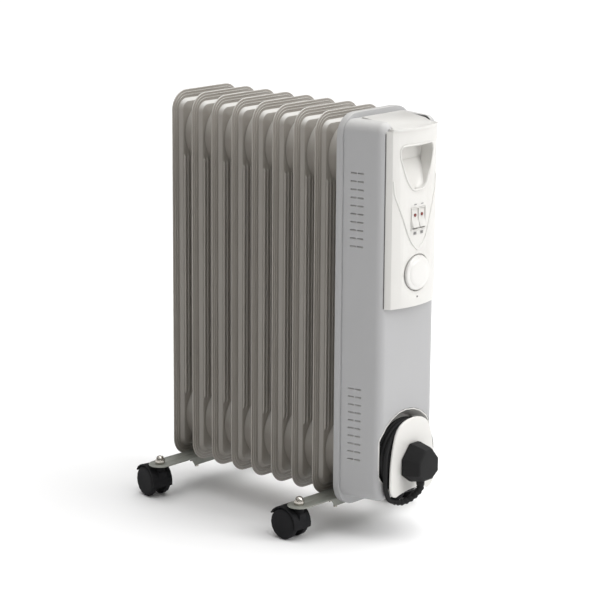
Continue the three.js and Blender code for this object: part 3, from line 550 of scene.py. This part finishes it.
def dress(piece: Piece, finish: Finish, body: str = BODY, replaces: Sequence[str] = ()) -> Piece:
    """Gives a piece its finish and lets it ride on its body.

    Args:
        piece: The piece.
        finish: Its finish.
        body: The CAD body that it moves with.
        replaces: CAD nodes that it stands for.

    Returns:
        The same piece.
    """
    piece.data.materials.clear()
    piece.data.materials.append(finish.material())
    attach(piece, body)
    if replaces:
        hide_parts(*replaces)
    return piece


def soften(node: str, name: str, finish: Finish, bevel: float, angle: float = 30.0,
           body: str = BODY) -> None:
    """Puts a soft-edged copy in a CAD node's place.

    Args:
        node: The CAD node.
        name: The copy's name.
        finish: Its finish.
        bevel: Rounding of its edges, or 0 for none.
        angle: Edges flatter than this are shaded smooth, in degrees.
        body: The CAD body that it moves with.
    """
    dress(copy_of(node, name, bevel, angle), finish, body, [node])


def paint_node(node: str, finish: Finish) -> None:
    """Gives a CAD node that stays as it is one of the finishes.

    Args:
        node: The CAD node.
        finish: Its finish.
    """
    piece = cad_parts[node]
    piece.data.materials.clear()
    piece.data.materials.append(finish.material())


# --- camera, studio


@dataclass
class CameraRig:
    """The camera, looking at the housing's front corner from a little above."""

    place: Point = (2480.1, -2513.84, 1127.6)
    yaw: float = 132.32
    pitch: float = 13.53
    roll: float = 0.41
    lens: float = 144.79

    def build(self) -> None:
        """Makes the camera and sets it as the scene's own."""
        yaw, pitch, roll = (radians(a) for a in (self.yaw, self.pitch, self.roll))
        ahead = Vector((cos(yaw) * cos(pitch), sin(yaw) * cos(pitch), -sin(pitch)))
        right = Vector((ahead.y, -ahead.x, 0.0)).normalized()
        up = right.cross(ahead)
        right, up = (right * cos(roll) + up * sin(roll),
                     up * cos(roll) - right * sin(roll))
        data = bpy.data.cameras.new("camera")
        data.lens = self.lens
        data.clip_end = 60.0
        camera = linked("camera", data)
        turn = Matrix((right, up, -ahead)).transposed().to_4x4()
        camera.matrix_world = Matrix.Translation(at(*self.place)) @ turn
        bpy.context.scene.camera = camera


@dataclass
class Studio:
    """A pale floor, a bright room, a wide overhead light and a soft front lamp, sized in metres."""

    floor_half: float = 9.0
    floor_z: float = -0.0005
    room: tuple[float, ...] = (1.0, 1.0, 1.0, 1.0)
    wall: tuple[float, ...] = (0.22, 0.21, 0.2, 1.0)
    wall_top: float = 0.25
    ceiling_bottom: float = 0.6
    room_strength: float = 0.62
    sky_power: float = 2.5
    sky_spread: float = 75.0
    sky_tilt: tuple[float, float] = (-14.0, 16.0)
    lamp_place: Point = (2.6, 1.0, 1.6)
    lamp_target: Point = (0.0, 0.0, 0.3)
    lamp_size: float = 1.2
    lamp_power: float = 30.0

    def lamp(self) -> None:
        """Hangs the square soft lamp that faces the heater."""
        data = bpy.data.lights.new("front_lamp", "AREA")
        data.size = self.lamp_size
        data.energy = self.lamp_power
        lamp = linked("front_lamp", data)
        lamp.location = self.lamp_place
        ahead = Vector(self.lamp_target) - Vector(self.lamp_place)
        lamp.rotation_euler = ahead.to_track_quat("-Z", "Y").to_euler()

    def build(self) -> None:
        """Makes the floor, the room's light, the sun and the lamp."""
        half = self.floor_half
        corners = [(x * half, y * half, self.floor_z) for x, y in ((-1, -1), (1, -1), (1, 1), (-1, 1))]
        floor = mesh_piece("studio_floor", corners, [(0, 1, 2, 3)])
        floor.data.materials.append(BACKDROP.material())
        world = bpy.data.worlds.new("studio_room")
        world.use_nodes = True
        light = world.node_tree.nodes["Background"]
        light.inputs["Strength"].default_value = self.room_strength
        nodes, links = world.node_tree.nodes, world.node_tree.links
        split = nodes.new("ShaderNodeSeparateXYZ")
        links.new(nodes.new("ShaderNodeTexCoord").outputs["Generated"], split.inputs[0])
        shade = nodes.new("ShaderNodeValToRGB")
        shade.color_ramp.elements[0].position = self.wall_top
        shade.color_ramp.elements[0].color = self.wall
        shade.color_ramp.elements[1].position = self.ceiling_bottom
        shade.color_ramp.elements[1].color = self.room
        links.new(split.outputs["Z"], shade.inputs["Fac"])
        links.new(shade.outputs["Color"], light.inputs["Color"])
        bpy.context.scene.world = world
        bpy.context.scene.view_settings.view_transform = "Standard"
        sky = bpy.data.lights.new("overhead_light", "SUN")
        sky.energy = self.sky_power
        sky.angle = radians(self.sky_spread)
        overhead = linked("overhead_light", sky)
        overhead.rotation_euler = (radians(self.sky_tilt[0]), radians(self.sky_tilt[1]), 0.0)
        self.lamp()


# --- cord


@dataclass
class Cord:
    """The mains lead, wound in its dish, with its moulded relief and plug.

    The relief's radii are its slim end, its stout end and the depth of its grooves. A pin has its
    place across and up from the plug's middle, its width and its height.
    """

    diameter: float = 7.0
    wrap_z: float = 119.0
    coil_front: float = 403.7
    inner_turn: float = 43.0
    lead_in_x: float = 378.9
    mouth_y: float = 29.7
    first_step: float = 320.0
    step_back: float = 40.0
    step_width: float = 34.0
    turns: float = 6.25
    step_degrees: float = 10.0
    tail: tuple[Point, ...] = (
        (400.2, -50.0, 119.0), (400.2, -50.0, 103.0), (400.2, -49.9, 88.0), (400.2, -49.4, 81.0),
        (400.4, -47.0, 73.0), (400.8, -42.0, 63.6), (403.0, -35.0, 59.4), (403.9, -31.5, 58.5),
    )
    relief: tuple[Point, ...] = (
        (403.3, -33.5, 58.9), (409.2, -23.0, 57.5), (416.4, -10.5, 63.5), (422.6, -1.4, 75.0),
        (422.8, 0.0, 86.4),
    )
    relief_radii: tuple[float, float, float] = (4.4, 6.0, 0.9)
    plug_back: float = 408.8
    plug_z: float = 113.0
    plug_outline: Outline = (
        (-10, -27.5), (10, -27.5), (26, -15.5), (26, 7.5), (9, 27.5), (-9, 27.5), (-26, 7.5), (-26, -15.5),
    )
    plug_sections: Outline = (
        (0.0, 0.97), (1.0, 1.0), (7.0, 1.0), (8.0, 0.97), (9.0, 0.97), (24.0, 0.86), (28.5, 0.8),
        (29.7, 0.72),
    )
    plug_pins: tuple[tuple[float, float, float, float], ...] = (
        (0, 13, 4, 8), (-11, -9, 6.3, 4), (11, -9, 6.3, 4),
    )

    def seats(self) -> Outline:
        """Lists the seats that the lead takes in turn, a diameter apart.

        Returns:
            The (x, radius) of each seat.
        """
        rows = [self.coil_front - self.diameter * (2.5 - i) for i in range(3)]
        low, high = self.inner_turn, self.inner_turn + self.diameter
        return [(self.lead_in_x, low), (rows[0], low), (rows[0], high), (rows[1], high),
                (rows[1], low), (rows[2], low), (rows[2], high)]

    def seat_at(self, turned: float) -> tuple[float, float]:
        """Gives the lead's (x, radius) after it has turned so far round the core.

        Args:
            turned: Degrees wound since the lead-in.

        Returns:
            Its x and its radius.
        """
        seats = self.seats()
        x, radius = seats[0]
        for i in range(len(seats) - 1):
            middle = 360.0 * i + self.first_step - self.step_back * i
            t = eased((turned - middle) / self.step_width + 0.5)
            x += (seats[i + 1][0] - seats[i][0]) * t
            radius += (seats[i + 1][1] - seats[i][1]) * t
        return x, radius

    def path(self) -> list[Vector]:
        """Draws the whole lead's middle line.

        Returns:
            Places from the sleeve to the relief.
        """
        top = self.wrap_z + self.inner_turn
        line = [at(self.lead_in_x, self.mouth_y * (1 - t / 4), top) for t in range(4)]
        for i in range(int(360 * self.turns / self.step_degrees)):
            turned = i * self.step_degrees
            x, radius = self.seat_at(turned)
            angle = radians(turned)
            line.append(at(x, -radius * sin(angle), self.wrap_z + radius * cos(angle)))
        return line + curve_through([at(*p) for p in self.tail], 3)

    def lead(self) -> tuple[Piece, list[Vector]]:
        """Makes the lead as one round curve.

        Returns:
            The curve and its middle line.
        """
        line = self.path()
        data = bpy.data.curves.new("mains_lead", "CURVE")
        data.dimensions = "3D"
        data.bevel_depth = self.diameter / 2 * MM
        data.bevel_resolution = 3
        data.use_fill_caps = True
        spline = data.splines.new("POLY")
        spline.points.add(len(line) - 1)
        for point, place in zip(spline.points, line):
            point.co = (*place, 1.0)
        spline.use_smooth = True
        return linked("mains_lead", data), line

    def strain_relief(self) -> Piece:
        """Makes the ribbed, tapered relief that curves up into the plug.

        Returns:
            The relief.
        """
        line = curve_through([at(*p) for p in self.relief], 9)
        slim, stout, groove = self.relief_radii
        radii = []
        for i in range(len(line)):
            along = i / (len(line) - 1)
            cut = 0.0 if i % 4 in (0, 1) or along > 0.9 else groove
            radii.append(slim + (stout - slim) * along - cut)
        return tube("lead_relief", line, radii, 20)

    def plug_body(self) -> Piece:
        """Makes the plug, which narrows towards the hand, and its pins.

        Returns:
            The plug's body.
        """
        back, z = self.plug_back, self.plug_z
        rings = []
        for x, size in self.plug_sections:
            rings.append([at(back + x, y * size, z + h * size) for y, h in self.plug_outline])
        body = bevelled(lofted("mains_plug_body", rings, 20.0), 1.6, 3, 18.0)
        grips = []
        for i in range(3):
            x, half = back + 12 + 4 * i, 23.5 - i
            grips.append(box_mm("grip", (x, -half, z - 8), (x + 1.4, half, z + 4)))
        pins = []
        for y, h, wide, high in self.plug_pins:
            low, top = (y - wide / 2, z + h - high / 2), (y + wide / 2, z + h + high / 2)
            pins.append(box_mm("pin", (back - 17, *low), (back + 1, *top)))
        dress(bevelled(one_mesh("plug_pins", pins), 0.4), BRIGHT_STEEL, replaces=["mains_plug"])
        return one_mesh("mains_plug_body", [body, *grips])

    def build(self) -> None:
        lead, line = self.lead()
        dress(lead, BLACK_RUBBER, replaces=["cord_coil", "cord_lead_in", "cord_tail"])
        relief = dress(self.strain_relief(), BLACK_RUBBER, replaces=["plug_strain_relief"])
        plug = dress(self.plug_body(), BLACK_RUBBER, replaces=["mains_plug"])
        length = sum((b - a).length for a, b in zip(line, line[1:]))
        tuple(line[0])
        LOG.info("lead: %.2f m, %d points", length, len(line))


# --- fins


@dataclass
class FinStack:
    """The pressed steel fins with their beads, ribs and header domes.

    The profile gives how far in from the fin's edge a point lies, how far from the middle plane,
    and how much further an upright rib stands there.
    """

    count: int = 9
    pitch: float = 40.0
    width: float = 138.0
    height: float = 554.5
    corner: float = 28.0
    bottom: float = 47.0
    neck: float = 19.8
    headers: tuple[float, float] = (111.0, 537.5)
    end_dome: float = 13.9
    rib_bottom: float = 145.5
    rib_top: float = 504.7
    rib_end: float = 7.0
    profile: tuple[Point, ...] = (
        (0.0, 0.45, 0.0), (0.6, 0.85, 0.0), (3.9, 0.85, 0.0), (4.2, 1.35, 0.0), (4.7, 1.35, 0.0),
        (5.0, 0.85, 0.0), (8.1, 0.85, 0.0), (8.4, 1.3, 0.0), (8.9, 1.3, 0.0), (9.2, 0.85, 0.0),
        (12.6, 0.9, 0.0), (13.4, 1.5, 0.0), (15.6, 4.6, 0.0), (17.0, 5.6, 0.0), (17.8, 5.7, 0.0),
        (18.6, 5.9, 2.0), (20.4, 6.1, 2.0), (21.2, 6.2, 0.0), (24.0, 6.5, 0.0), (24.8, 6.6, 1.4),
        (26.8, 6.8, 1.3), (27.8, 6.9, 0.0), (31.0, 7.1, 0.0), (31.8, 7.2, 0.8), (33.0, 7.3, 0.7),
        (33.8, 7.4, 0.0), (42.0, 7.9, 0.0),
    )
    dome_profile: Outline = (
        (49.5, 7.4), (48.4, 8.1), (46.0, 9.6), (42.5, 13.2), (39.5, 16.6), (37.4, 18.6),
    )
    dome_mouth: float = 36.0

    def rib_share(self, z: float) -> float:
        """Gives how much of a rib's height stands at a height above the floor, from 0 to 1."""
        return eased(min(z - self.rib_bottom, self.rib_top - z) / self.rib_end + 0.5)

    def side_heights(self) -> list[float]:
        """Lists where a fin's sides need points between the corners.

        Returns:
            Heights in millimetres, lowest first.
        """
        steps = [-0.5, -0.25, 0.0, 0.25, 0.5]
        low = [self.rib_bottom + self.rib_end * s for s in steps]
        return low + [self.rib_top + self.rib_end * s for s in steps]

    def ring(self, inset: float, x: float, rib: float, middle: float) -> list[Vector]:
        """Draws a rounded rectangle that lies inside the fin's outline.

        Args:
            inset: How far inside.
            x: Where the ring lies from the fin's middle plane.
            rib: How far the upright ribs stand out there, signed like x.
            middle: Where the fin's middle plane lies.

        Returns:
            The ring's places, once round.
        """
        half = self.width / 2 - inset
        low, high = self.bottom + inset, self.bottom + self.height - inset
        radius = max(self.corner - inset, 3.0)
        places = []
        for quarter, side in enumerate((1, -1, -1, 1)):
            places += [at(middle + x, y, z) for y, z in corner_arc(quarter, half, low, high, radius)]
            if quarter in (1, 3):
                heights = self.side_heights() if quarter == 3 else self.side_heights()[::-1]
                places += [at(middle + x + rib * self.rib_share(z), side * half, z) for z in heights]
        return places

    def plate(self, middle: float) -> Piece:
        """Makes a fin's two welded pressings as one closed skin.

        Args:
            middle: Where the fin's middle plane lies.

        Returns:
            The skin.
        """
        near = [self.ring(inset, x, rib, middle) for inset, x, rib in reversed(self.profile)]
        far = [self.ring(inset, -x, -rib, middle) for inset, x, rib in self.profile]
        return lofted("plate", near + far, 28.0)

    def dome(self, middle: float, z: float, side: int, reach: float) -> Piece:
        """Makes a header dome on one face of a fin.

        Args:
            middle: Where the fin's middle plane lies.
            z: How high the dome's axis lies.
            side: 1 for the front face and -1 for the rear one.
            reach: How far the dome's end stands from the middle plane.

        Returns:
            The dome.
        """
        profile = [*self.dome_profile, (self.dome_mouth, reach)]
        shape = [(radius, middle + side * x) for radius, x in profile]
        return lathe_x("dome", shape, 0.0, z, 48)

    def build(self) -> None:
        """Makes all the fins."""
        for i in range(self.count):
            middle = i * self.pitch
            parts = [self.plate(middle)]
            for z in self.headers:
                parts.append(self.dome(middle, z, 1, self.neck))
                parts.append(self.dome(middle, z, -1, self.neck if i else self.end_dome))
            name = f"fin_{i + 1}"
            dress(one_mesh(f"pressed_{name}", parts), FIN_PAINT, replaces=[name])
        LOG.info("fins: %d", self.count)


# --- housing


@dataclass
class HousingShell:
    """The sheet housing on the front fin, with two banks of louvres on each side.

    The window is the panel's opening: its half width, lower edge and upper edge.
    """

    back: float = 333.3
    front: float = 395.0
    half_width: float = 58.0
    bottom: float = 59.0
    top: float = 597.5
    flare: float = 12.0
    edge_round: float = 11.0
    corner_round: float = 16.0
    sheet: float = 1.2
    rows: int = 10
    row_pitch: float = 11.36
    upper_row: float = 525.5
    lower_row: float = 220.0
    slots: Outline = ((345.0, 354.2), (356.0, 365.2))
    slot_height: float = 3.0
    window: tuple[float, float, float] = (40.0, 346.0, 572.0)
    cap_back: float = 341.0
    cap_half: float = 41.8
    cap_drop: float = 14.0
    dish_z: float = 119.0
    dish_profile: Outline = ((58.3, 372.9), (58.3, 374.0), (63.8, 399.0))
    dish_half: float = 56.1
    dish_lift: float = 6.0
    back_opening: tuple[Point, Point] = ((332, -47, 64), (337, 47, 585))
    liner_inset: float = 5.5
    liner_opening: tuple[Point, Point] = ((366, -60, 50), (400, 60, 620))

    def half_at(self, x: float) -> float:
        """Gives the housing's half width at a station, which draws in towards the front."""
        return self.half_width + self.flare * (self.front - x) / (self.front - self.back)

    def form(self, grow: float, name: str) -> Piece:
        """Makes the housing's rounded form, grown or shrunk.

        Args:
            grow: Millimetres added all round.
            name: The mesh's name.

        Returns:
            A closed form.
        """
        edge = self.edge_round + grow
        face = self.front + grow
        rings = [self.outline(self.back - grow, 0.6 - grow), self.outline(self.back - grow + 0.6, -grow)]
        for k in range(10):
            angle = radians(90 * k / 9)
            x = face - edge * (1 - sin(angle))
            rings.append(self.outline(x, edge * (1 - cos(angle)) - grow))
        return lofted(name, rings, 32.0)

    def outline(self, x: float, inset: float) -> list[Vector]:
        """Draws the housing's cross outline at one station along it.

        Args:
            x: The station.
            inset: How far inside the full outline.

        Returns:
            The outline's places.
        """
        half = self.half_at(x) - inset
        low, high = self.bottom + inset, self.top - inset
        radius = max(self.corner_round - inset, 2.0)
        return [at(x, y, z) for quarter in range(4) for y, z in corner_arc(quarter, half, low, high, radius)]

    def slot_places(self) -> list[tuple[float, float, float, int]]:
        """Lists every louvre slot.

        Returns:
            The slot's middle height, lowest and highest x, and side, -1 for the near one.
        """
        return [(first - row * self.row_pitch, low_x, high_x, side)
                for first in (self.upper_row, self.lower_row) for row in range(self.rows)
                for low_x, high_x in self.slots for side in (-1, 1)]

    def louvre_cutters(self) -> Piece:
        """Makes the slots of all rows.

        Returns:
            One cutter.
        """
        cutters = []
        half = self.slot_height / 2
        for z, low_x, high_x, side in self.slot_places():
            y = sorted((side * (self.half_at(high_x) - 3), side * (self.half_at(low_x) + 2)))
            cutters.append(box_mm("slot", (low_x, y[0], z - half), (high_x, y[1], z + half)))
        return one_mesh("louvre_cutters", cutters)

    def louvre_lips(self) -> Piece:
        """Makes the folded lip below each slot, leaning into the housing.

        Returns:
            All the lips as one piece.
        """
        lips = []
        for middle, low_x, high_x, side in self.slot_places():
            z = middle - self.slot_height / 2
            rings = []
            for x in (low_x, high_x):
                out, deep = side * (self.half_at(x) - 0.1), side * (self.half_at(x) - 3.4)
                ring = ((out, z), (out, z + 0.5), (deep, z + 3.4), (deep, z + 2.8))
                rings.append([at(x, y, h) for y, h in ring])
            lips.append(lofted("lip", rings))
        return one_mesh("louvre_lips", lips)

    def openings(self) -> list[Piece]:
        """Makes the cutters for the panel, the top cap and the cord dish.

        Returns:
            The three cutters.
        """
        half, bottom, top = self.window
        window = box_mm("window", (self.front - 5, -half, bottom), (self.front + 5, half, top))
        cap_run = box_mm("cap_run", (self.cap_back, -self.cap_half, self.top - self.cap_drop),
                         (self.front + 2, self.cap_half, self.top + 5))
        dish = lathe_x("dish_cut", self.dish_profile, 0.0, self.dish_z, 72)
        limit = self.dish_half * MM
        for vertex in dish.data.vertices:
            if vertex.co.x > at(self.front, 0, 0).x:
                vertex.co.z += self.dish_lift * MM
            vertex.co.y = min(max(vertex.co.y, DATUM.y - limit), DATUM.y + limit)
        return [window, cap_run, dish]

    def build(self) -> None:
        """Makes the shell, its louvre lips and a near-black sheet of painted shade inside it."""
        shell = carved(self.form(0.0, "housing"), self.form(-self.sheet, "hollow"), self.louvre_cutters(),
                       *self.openings(), box_mm("back", *self.back_opening))
        tidy_mesh(shell.data, 32.0)
        shell.name = "sheet_housing"
        dress(shell, HOUSING_PAINT, replaces=["housing_shell"])
        dress(self.louvre_lips(), HOUSING_PAINT)
        # A near-black sheet just inside the shell, as painted shade seen through the louvres and openings.
        liner = carved(self.form(-self.liner_inset, "painted_shade_liner"),
                       self.form(-self.liner_inset - 1.0, "liner_hollow"),
                       box_mm("liner_front", *self.liner_opening))
        dress(liner, INNER_SHADE)
        LOG.info("housing: %d louvres a side", self.rows * 2 * len(self.slots))


@dataclass
class EndFrame:
    """The pressed frame between the front fin and the housing."""

    fold: float = 0.9

    def build(self) -> None:
        """Copies the pressed tray with rounded folds."""
        soften("end_frame", "pressed_end_frame", HOUSING_PAINT, self.fold)
        LOG.info("end frame")


@dataclass
class ControlPanel:
    """The crowned front moulding with its grip, dial well, switch bezel and raised shield."""

    edge_x: float = 403.0
    crown: float = 8.0
    half_front: float = 45.0
    seam_x: float = 393.9
    seam_y: float = 52.3
    bead_sink: float = 0.7
    grip_half_width: float = 34.0
    grip_top: float = 564.5
    grip_bottom: float = 502.5
    half_shield: Outline = (
        (-44.6, 518.0), (-42.6, 499.0), (-36.0, 482.0), (-29.0, 465.0), (-22.0, 447.0), (-15.0, 432.0),
        (-5.0, 420.8), (0.0, 418.6),
    )

    def face_x(self, y: float) -> float:
        """Gives how far forward the crowned face stands at a place across."""
        t = min(abs(y) / (self.half_front + 1.5), 1.0)
        return self.edge_x - 1 + (self.crown + 1) * (1 - t * t)

    def bead(self, name: str, line: Outline, radius: float) -> Piece:
        """Lays a round bead along a line on the crowned face.

        Args:
            name: The bead's name.
            line: (y, z) places.
            radius: The bead's radius.

        Returns:
            The bead.
        """
        places = curve_through([at(self.face_x(y) - self.bead_sink, y, z) for y, z in line], 4)
        return tube(name, places, [radius] * len(places), 8)

    def mark(self, y: float, z: float, wide: float, high: float) -> Piece:
        """Makes one small printed mark on the face, centred at a place."""
        x = self.face_x(y)
        return box_mm("mark", (x - 0.2, y - wide / 2, z - high / 2), (x + 0.12, y + wide / 2, z + high / 2))

    def grip_half(self, z: float) -> float:
        """Measures the grip recess.

        Args:
            z: A height above the floor.

        Returns:
            The recess's half width there.
        """
        outline = sorted((h, y) for y, h in self.rim(1.0, 0.0) if y >= 0)
        for (z0, y0), (z1, y1) in zip(outline, outline[1:]):
            if z0 <= z <= z1 and z1 > z0:
                return y0 + (y1 - y0) * (z - z0) / (z1 - z0)
        return outline[-1][1]

    def scoop(self) -> Piece:
        """Makes the sloping floor of the grip recess, which falls back towards its top.

        Returns:
            The floor, as a closed piece.
        """
        bottom, deep_z, back, rows, columns = 503.4, 541.0, 385.5, 12, 16
        front_faces, back_faces = [], []
        for row in range(rows + 1):
            t = row / rows
            z = bottom + (deep_z - bottom) * t
            half = max(self.grip_half(z) - 0.15, 0.5)
            for column in range(columns + 1):
                y = half * (2 * column / columns - 1)
                hollow = sqrt(max(cos(pi / 2 * abs(y) / half), 0.0))
                fall = (1 - cos(pi * t / 2)) * 0.35 + t * 0.65
                depth = self.face_x(y) - 0.9 - back
                x = self.face_x(y) - 0.8 - depth * min(fall + 0.28 * hollow * (1 - t), 1.0)
                front_faces.append(at(max(x, back + 0.05), y, z))
                back_faces.append(at(back, y, z))
        across = columns + 1
        count = len(front_faces)
        faces = []
        for row in range(rows):
            for column in range(columns):
                a = row * across + column
                faces.append((a, a + 1, a + across + 1, a + across))
                faces.append((count + a, count + a + across, count + a + across + 1, count + a + 1))
        border = list(range(across))
        border += [row * across + columns for row in range(1, rows + 1)]
        border += [rows * across + column for column in range(columns - 1, -1, -1)]
        border += [row * across for row in range(rows - 1, 0, -1)]
        for a, b in zip(border, border[1:] + border[:1]):
            faces.append((a, count + a, count + b, b))
        return mesh_piece("grip_scoop", front_faces + back_faces, faces, 40.0)

    def rim(self, scale: float, z_shift: float) -> Outline:
        """Draws the grip's outline.

        Args:
            scale: How much wider it is drawn than the recess.
            z_shift: Millimetres added above and below.

        Returns:
            The (y, z) places, once round.
        """
        top, bottom = self.grip_top + z_shift, self.grip_bottom - z_shift
        shape = [(0, bottom), (12, bottom + 1.6), (21.5, bottom + 14), (28, bottom + 30), (33, bottom + 46),
                 (self.grip_half_width, top - 8), (31.7, top - 2.3), (26, top), (0, top)]
        right = [(y * scale, z) for y, z in shape]
        return right + [(-y, z) for y, z in reversed(right)][1:]

    def build(self) -> None:
        """Makes the moulding, what is raised or printed on it, and painted shade in the gaps along its
        sides.
        """
        soften("control_panel", "front_moulding", WHITE_PLASTIC, 0.7, 24.0)
        shield = [*self.half_shield, *((-y, z) for y, z in self.half_shield[-2::-1])]
        dress(self.bead("shield_ridge", shield, 1.7), WHITE_PLASTIC)
        dress(self.bead("grip_rim", self.rim(1.02, 0.5), 1.5), WHITE_PLASTIC)
        dress(self.scoop(), WHITE_PLASTIC)
        # Thin near-black beads in the gaps between the moulding and the housing: painted shade.
        for name, side in (("near_seam_shade", -1), ("far_seam_shade", 1)):
            places = [at(self.seam_x, side * self.seam_y, z) for z in (339.5, 460.0, 583.0)]
            dress(tube(name, places, [0.7] * 3, 8), INNER_SHADE)
        marks = [self.mark(y, 482.0, 4.4, 1.0) for y in (-7.2, 7.2)]
        marks += [self.mark(y + 2 * k - 2, 442.0, 0.8, 4.0) for y in (-7.2, 7.2) for k in range(3)]
        marks.append(lathe_x("mark", [(0, 409.0), (1.3, 409.0), (1.3, 411.1), (0, 411.1)], 0.0, 351.5, 16))
        dress(one_mesh("printed_marks", marks), MARK_INK)
        LOG.info("front moulding with %d marks", len(marks))


@dataclass
class Dial:
    """The thermostat's smooth round knob.

    The front gives each point's distance in from the rim and its rise above the back.
    """

    z: float = 385.5
    back: float = 407.6
    radius: float = 24.5
    spindle: float = 2.9
    spindle_back: float = 393.4
    front: Outline = (
        (0.7, 0.0), (0.0, 0.6), (0.0, 3.2), (0.5, 4.2), (1.9, 4.9), (4.0, 5.3), (5.1, 5.3), (5.9, 5.9),
        (10.5, 7.0), (16.5, 7.5), (24.5, 7.7),
    )

    def build(self) -> None:
        """Makes the knob and the raised pointer on its rim."""
        profile = [(self.spindle, self.spindle_back), (self.spindle, self.back)]
        profile += [(self.radius - inset, self.back + rise) for inset, rise in self.front]
        body = lathe_x("knob", profile, 0.0, self.z, 72, 28.0)
        dress(body, KNOB_PLASTIC, "thermostat_knob", ["thermostat_knob"])
        low = (self.back + 4.0, -0.7, self.z + 17)
        high = (self.back + 5.5, 0.7, self.z + 22.8)
        dress(box_mm("dial_pointer", low, high), KNOB_PLASTIC, "thermostat_knob")
        LOG.info("dial")


@dataclass
class Switches:
    """The twin rocker switch with a small neon lens in each key."""

    z: float = 462.0
    key_ys: tuple[float, float] = (-7.2, 7.2)
    lens_profile: Outline = (
        (0, 409.4), (2.3, 409.4), (2.3, 410.9), (1.6, 411.3), (0, 411.4),
    )
    lens_rise: float = 5.2

    def build(self) -> None:
        """Makes the bezel and both keys."""
        soften("switch_housing", "switch_bezel", WHITE_PLASTIC, 0.5)
        for i, y in enumerate(self.key_ys, 1):
            node = f"power_rocker_{i}"
            soften(node, f"rocker_key_{i}", WHITE_PLASTIC, 0.6, 20.0, node)
            lens = lathe_x(f"neon_lens_{i}", self.lens_profile, y, self.z + self.lens_rise, 20)
            dress(lens, NEON_LENS, node)
        LOG.info("switches: %d keys", len(self.key_ys))


@dataclass
class CordWrap:
    """The dish that the lead is wound in, with the petal-shaped cap on its core."""

    rounding: float = 0.5
    smooth_degrees: float = 26.0

    def build(self) -> None:
        """Makes the dish and the cap."""
        soften("cord_dish", "wrap_dish", WHITE_PLASTIC, self.rounding, self.smooth_degrees)
        soften("wrap_cap", "wrap_petal", WHITE_PLASTIC, self.rounding, self.smooth_degrees)
        LOG.info("cord wrap")


# --- feet


@dataclass
class Feet:
    """Two brackets under the fins, each held by a U-bolt and standing on two castors."""

    rows: tuple[str, str] = ("rear", "front")
    sides: tuple[str, str] = ("near", "far")

    def castor(self, label: str) -> None:
        """Makes one castor.

        Args:
            label: The castor's name, such as castor_rear_near.
        """
        soften(f"{label}_stem", f"{label}_pin", BRIGHT_STEEL, 0.3)
        soften(f"{label}_dome_nut", f"{label}_cap_nut", BRIGHT_STEEL, 0.5, 50.0)
        soften(f"{label}_body", f"{label}_hood", BLACK_PLASTIC, 0.6, body=f"{label}_swivel")
        paint_node(f"{label}_axle", BRIGHT_STEEL)
        for which in ("outer", "inner"):
            node = f"{label}_wheel_{which}"
            soften(node, f"{label}_roller_{which}", BLACK_PLASTIC, 0.5, body=node)

    def build(self) -> None:
        """Makes both feet."""
        for row in self.rows:
            soften(f"{row}_foot_bracket", f"{row}_foot_strip", BRACKET_STEEL, 0.35)
            soften(f"{row}_u_bolt", f"{row}_hoop", BRIGHT_STEEL, 0.0, 60.0)
            for side in self.sides:
                soften(f"{row}_{side}_wing_nut", f"{row}_{side}_wing", BRIGHT_STEEL, 0.4)
                self.castor(f"castor_{row}_{side}")
        LOG.info("feet: %d castors", len(self.rows) * len(self.sides))


class Internals:
    """The pieces inside, which keep their CAD shapes."""

    FINISHES = {
        "heating_element": DARK_STEEL,
        "thermal_cutout": DARK_STEEL,
        "terminal_block": CREAM_PLASTIC,
        "thermostat": CREAM_PLASTIC,
        "tilt_switch": BLACK_PLASTIC,
    }

    def build(self) -> None:
        """Gives each inner piece its finish."""
        for node, finish in self.FINISHES.items():
            paint_node(node, finish)
        LOG.info("inner pieces: %d", len(self.FINISHES))


def main() -> None:
    """Builds the camera, the lead, the heater and the studio."""
    logging.basicConfig(level=logging.INFO, format="%(message)s")
    for assembly in (CameraRig, Cord, FinStack, EndFrame, HousingShell, ControlPanel, Dial, Switches,
                     CordWrap, Feet, Internals, Studio):
        assembly().build()


if __name__ == "__main__":
    main()
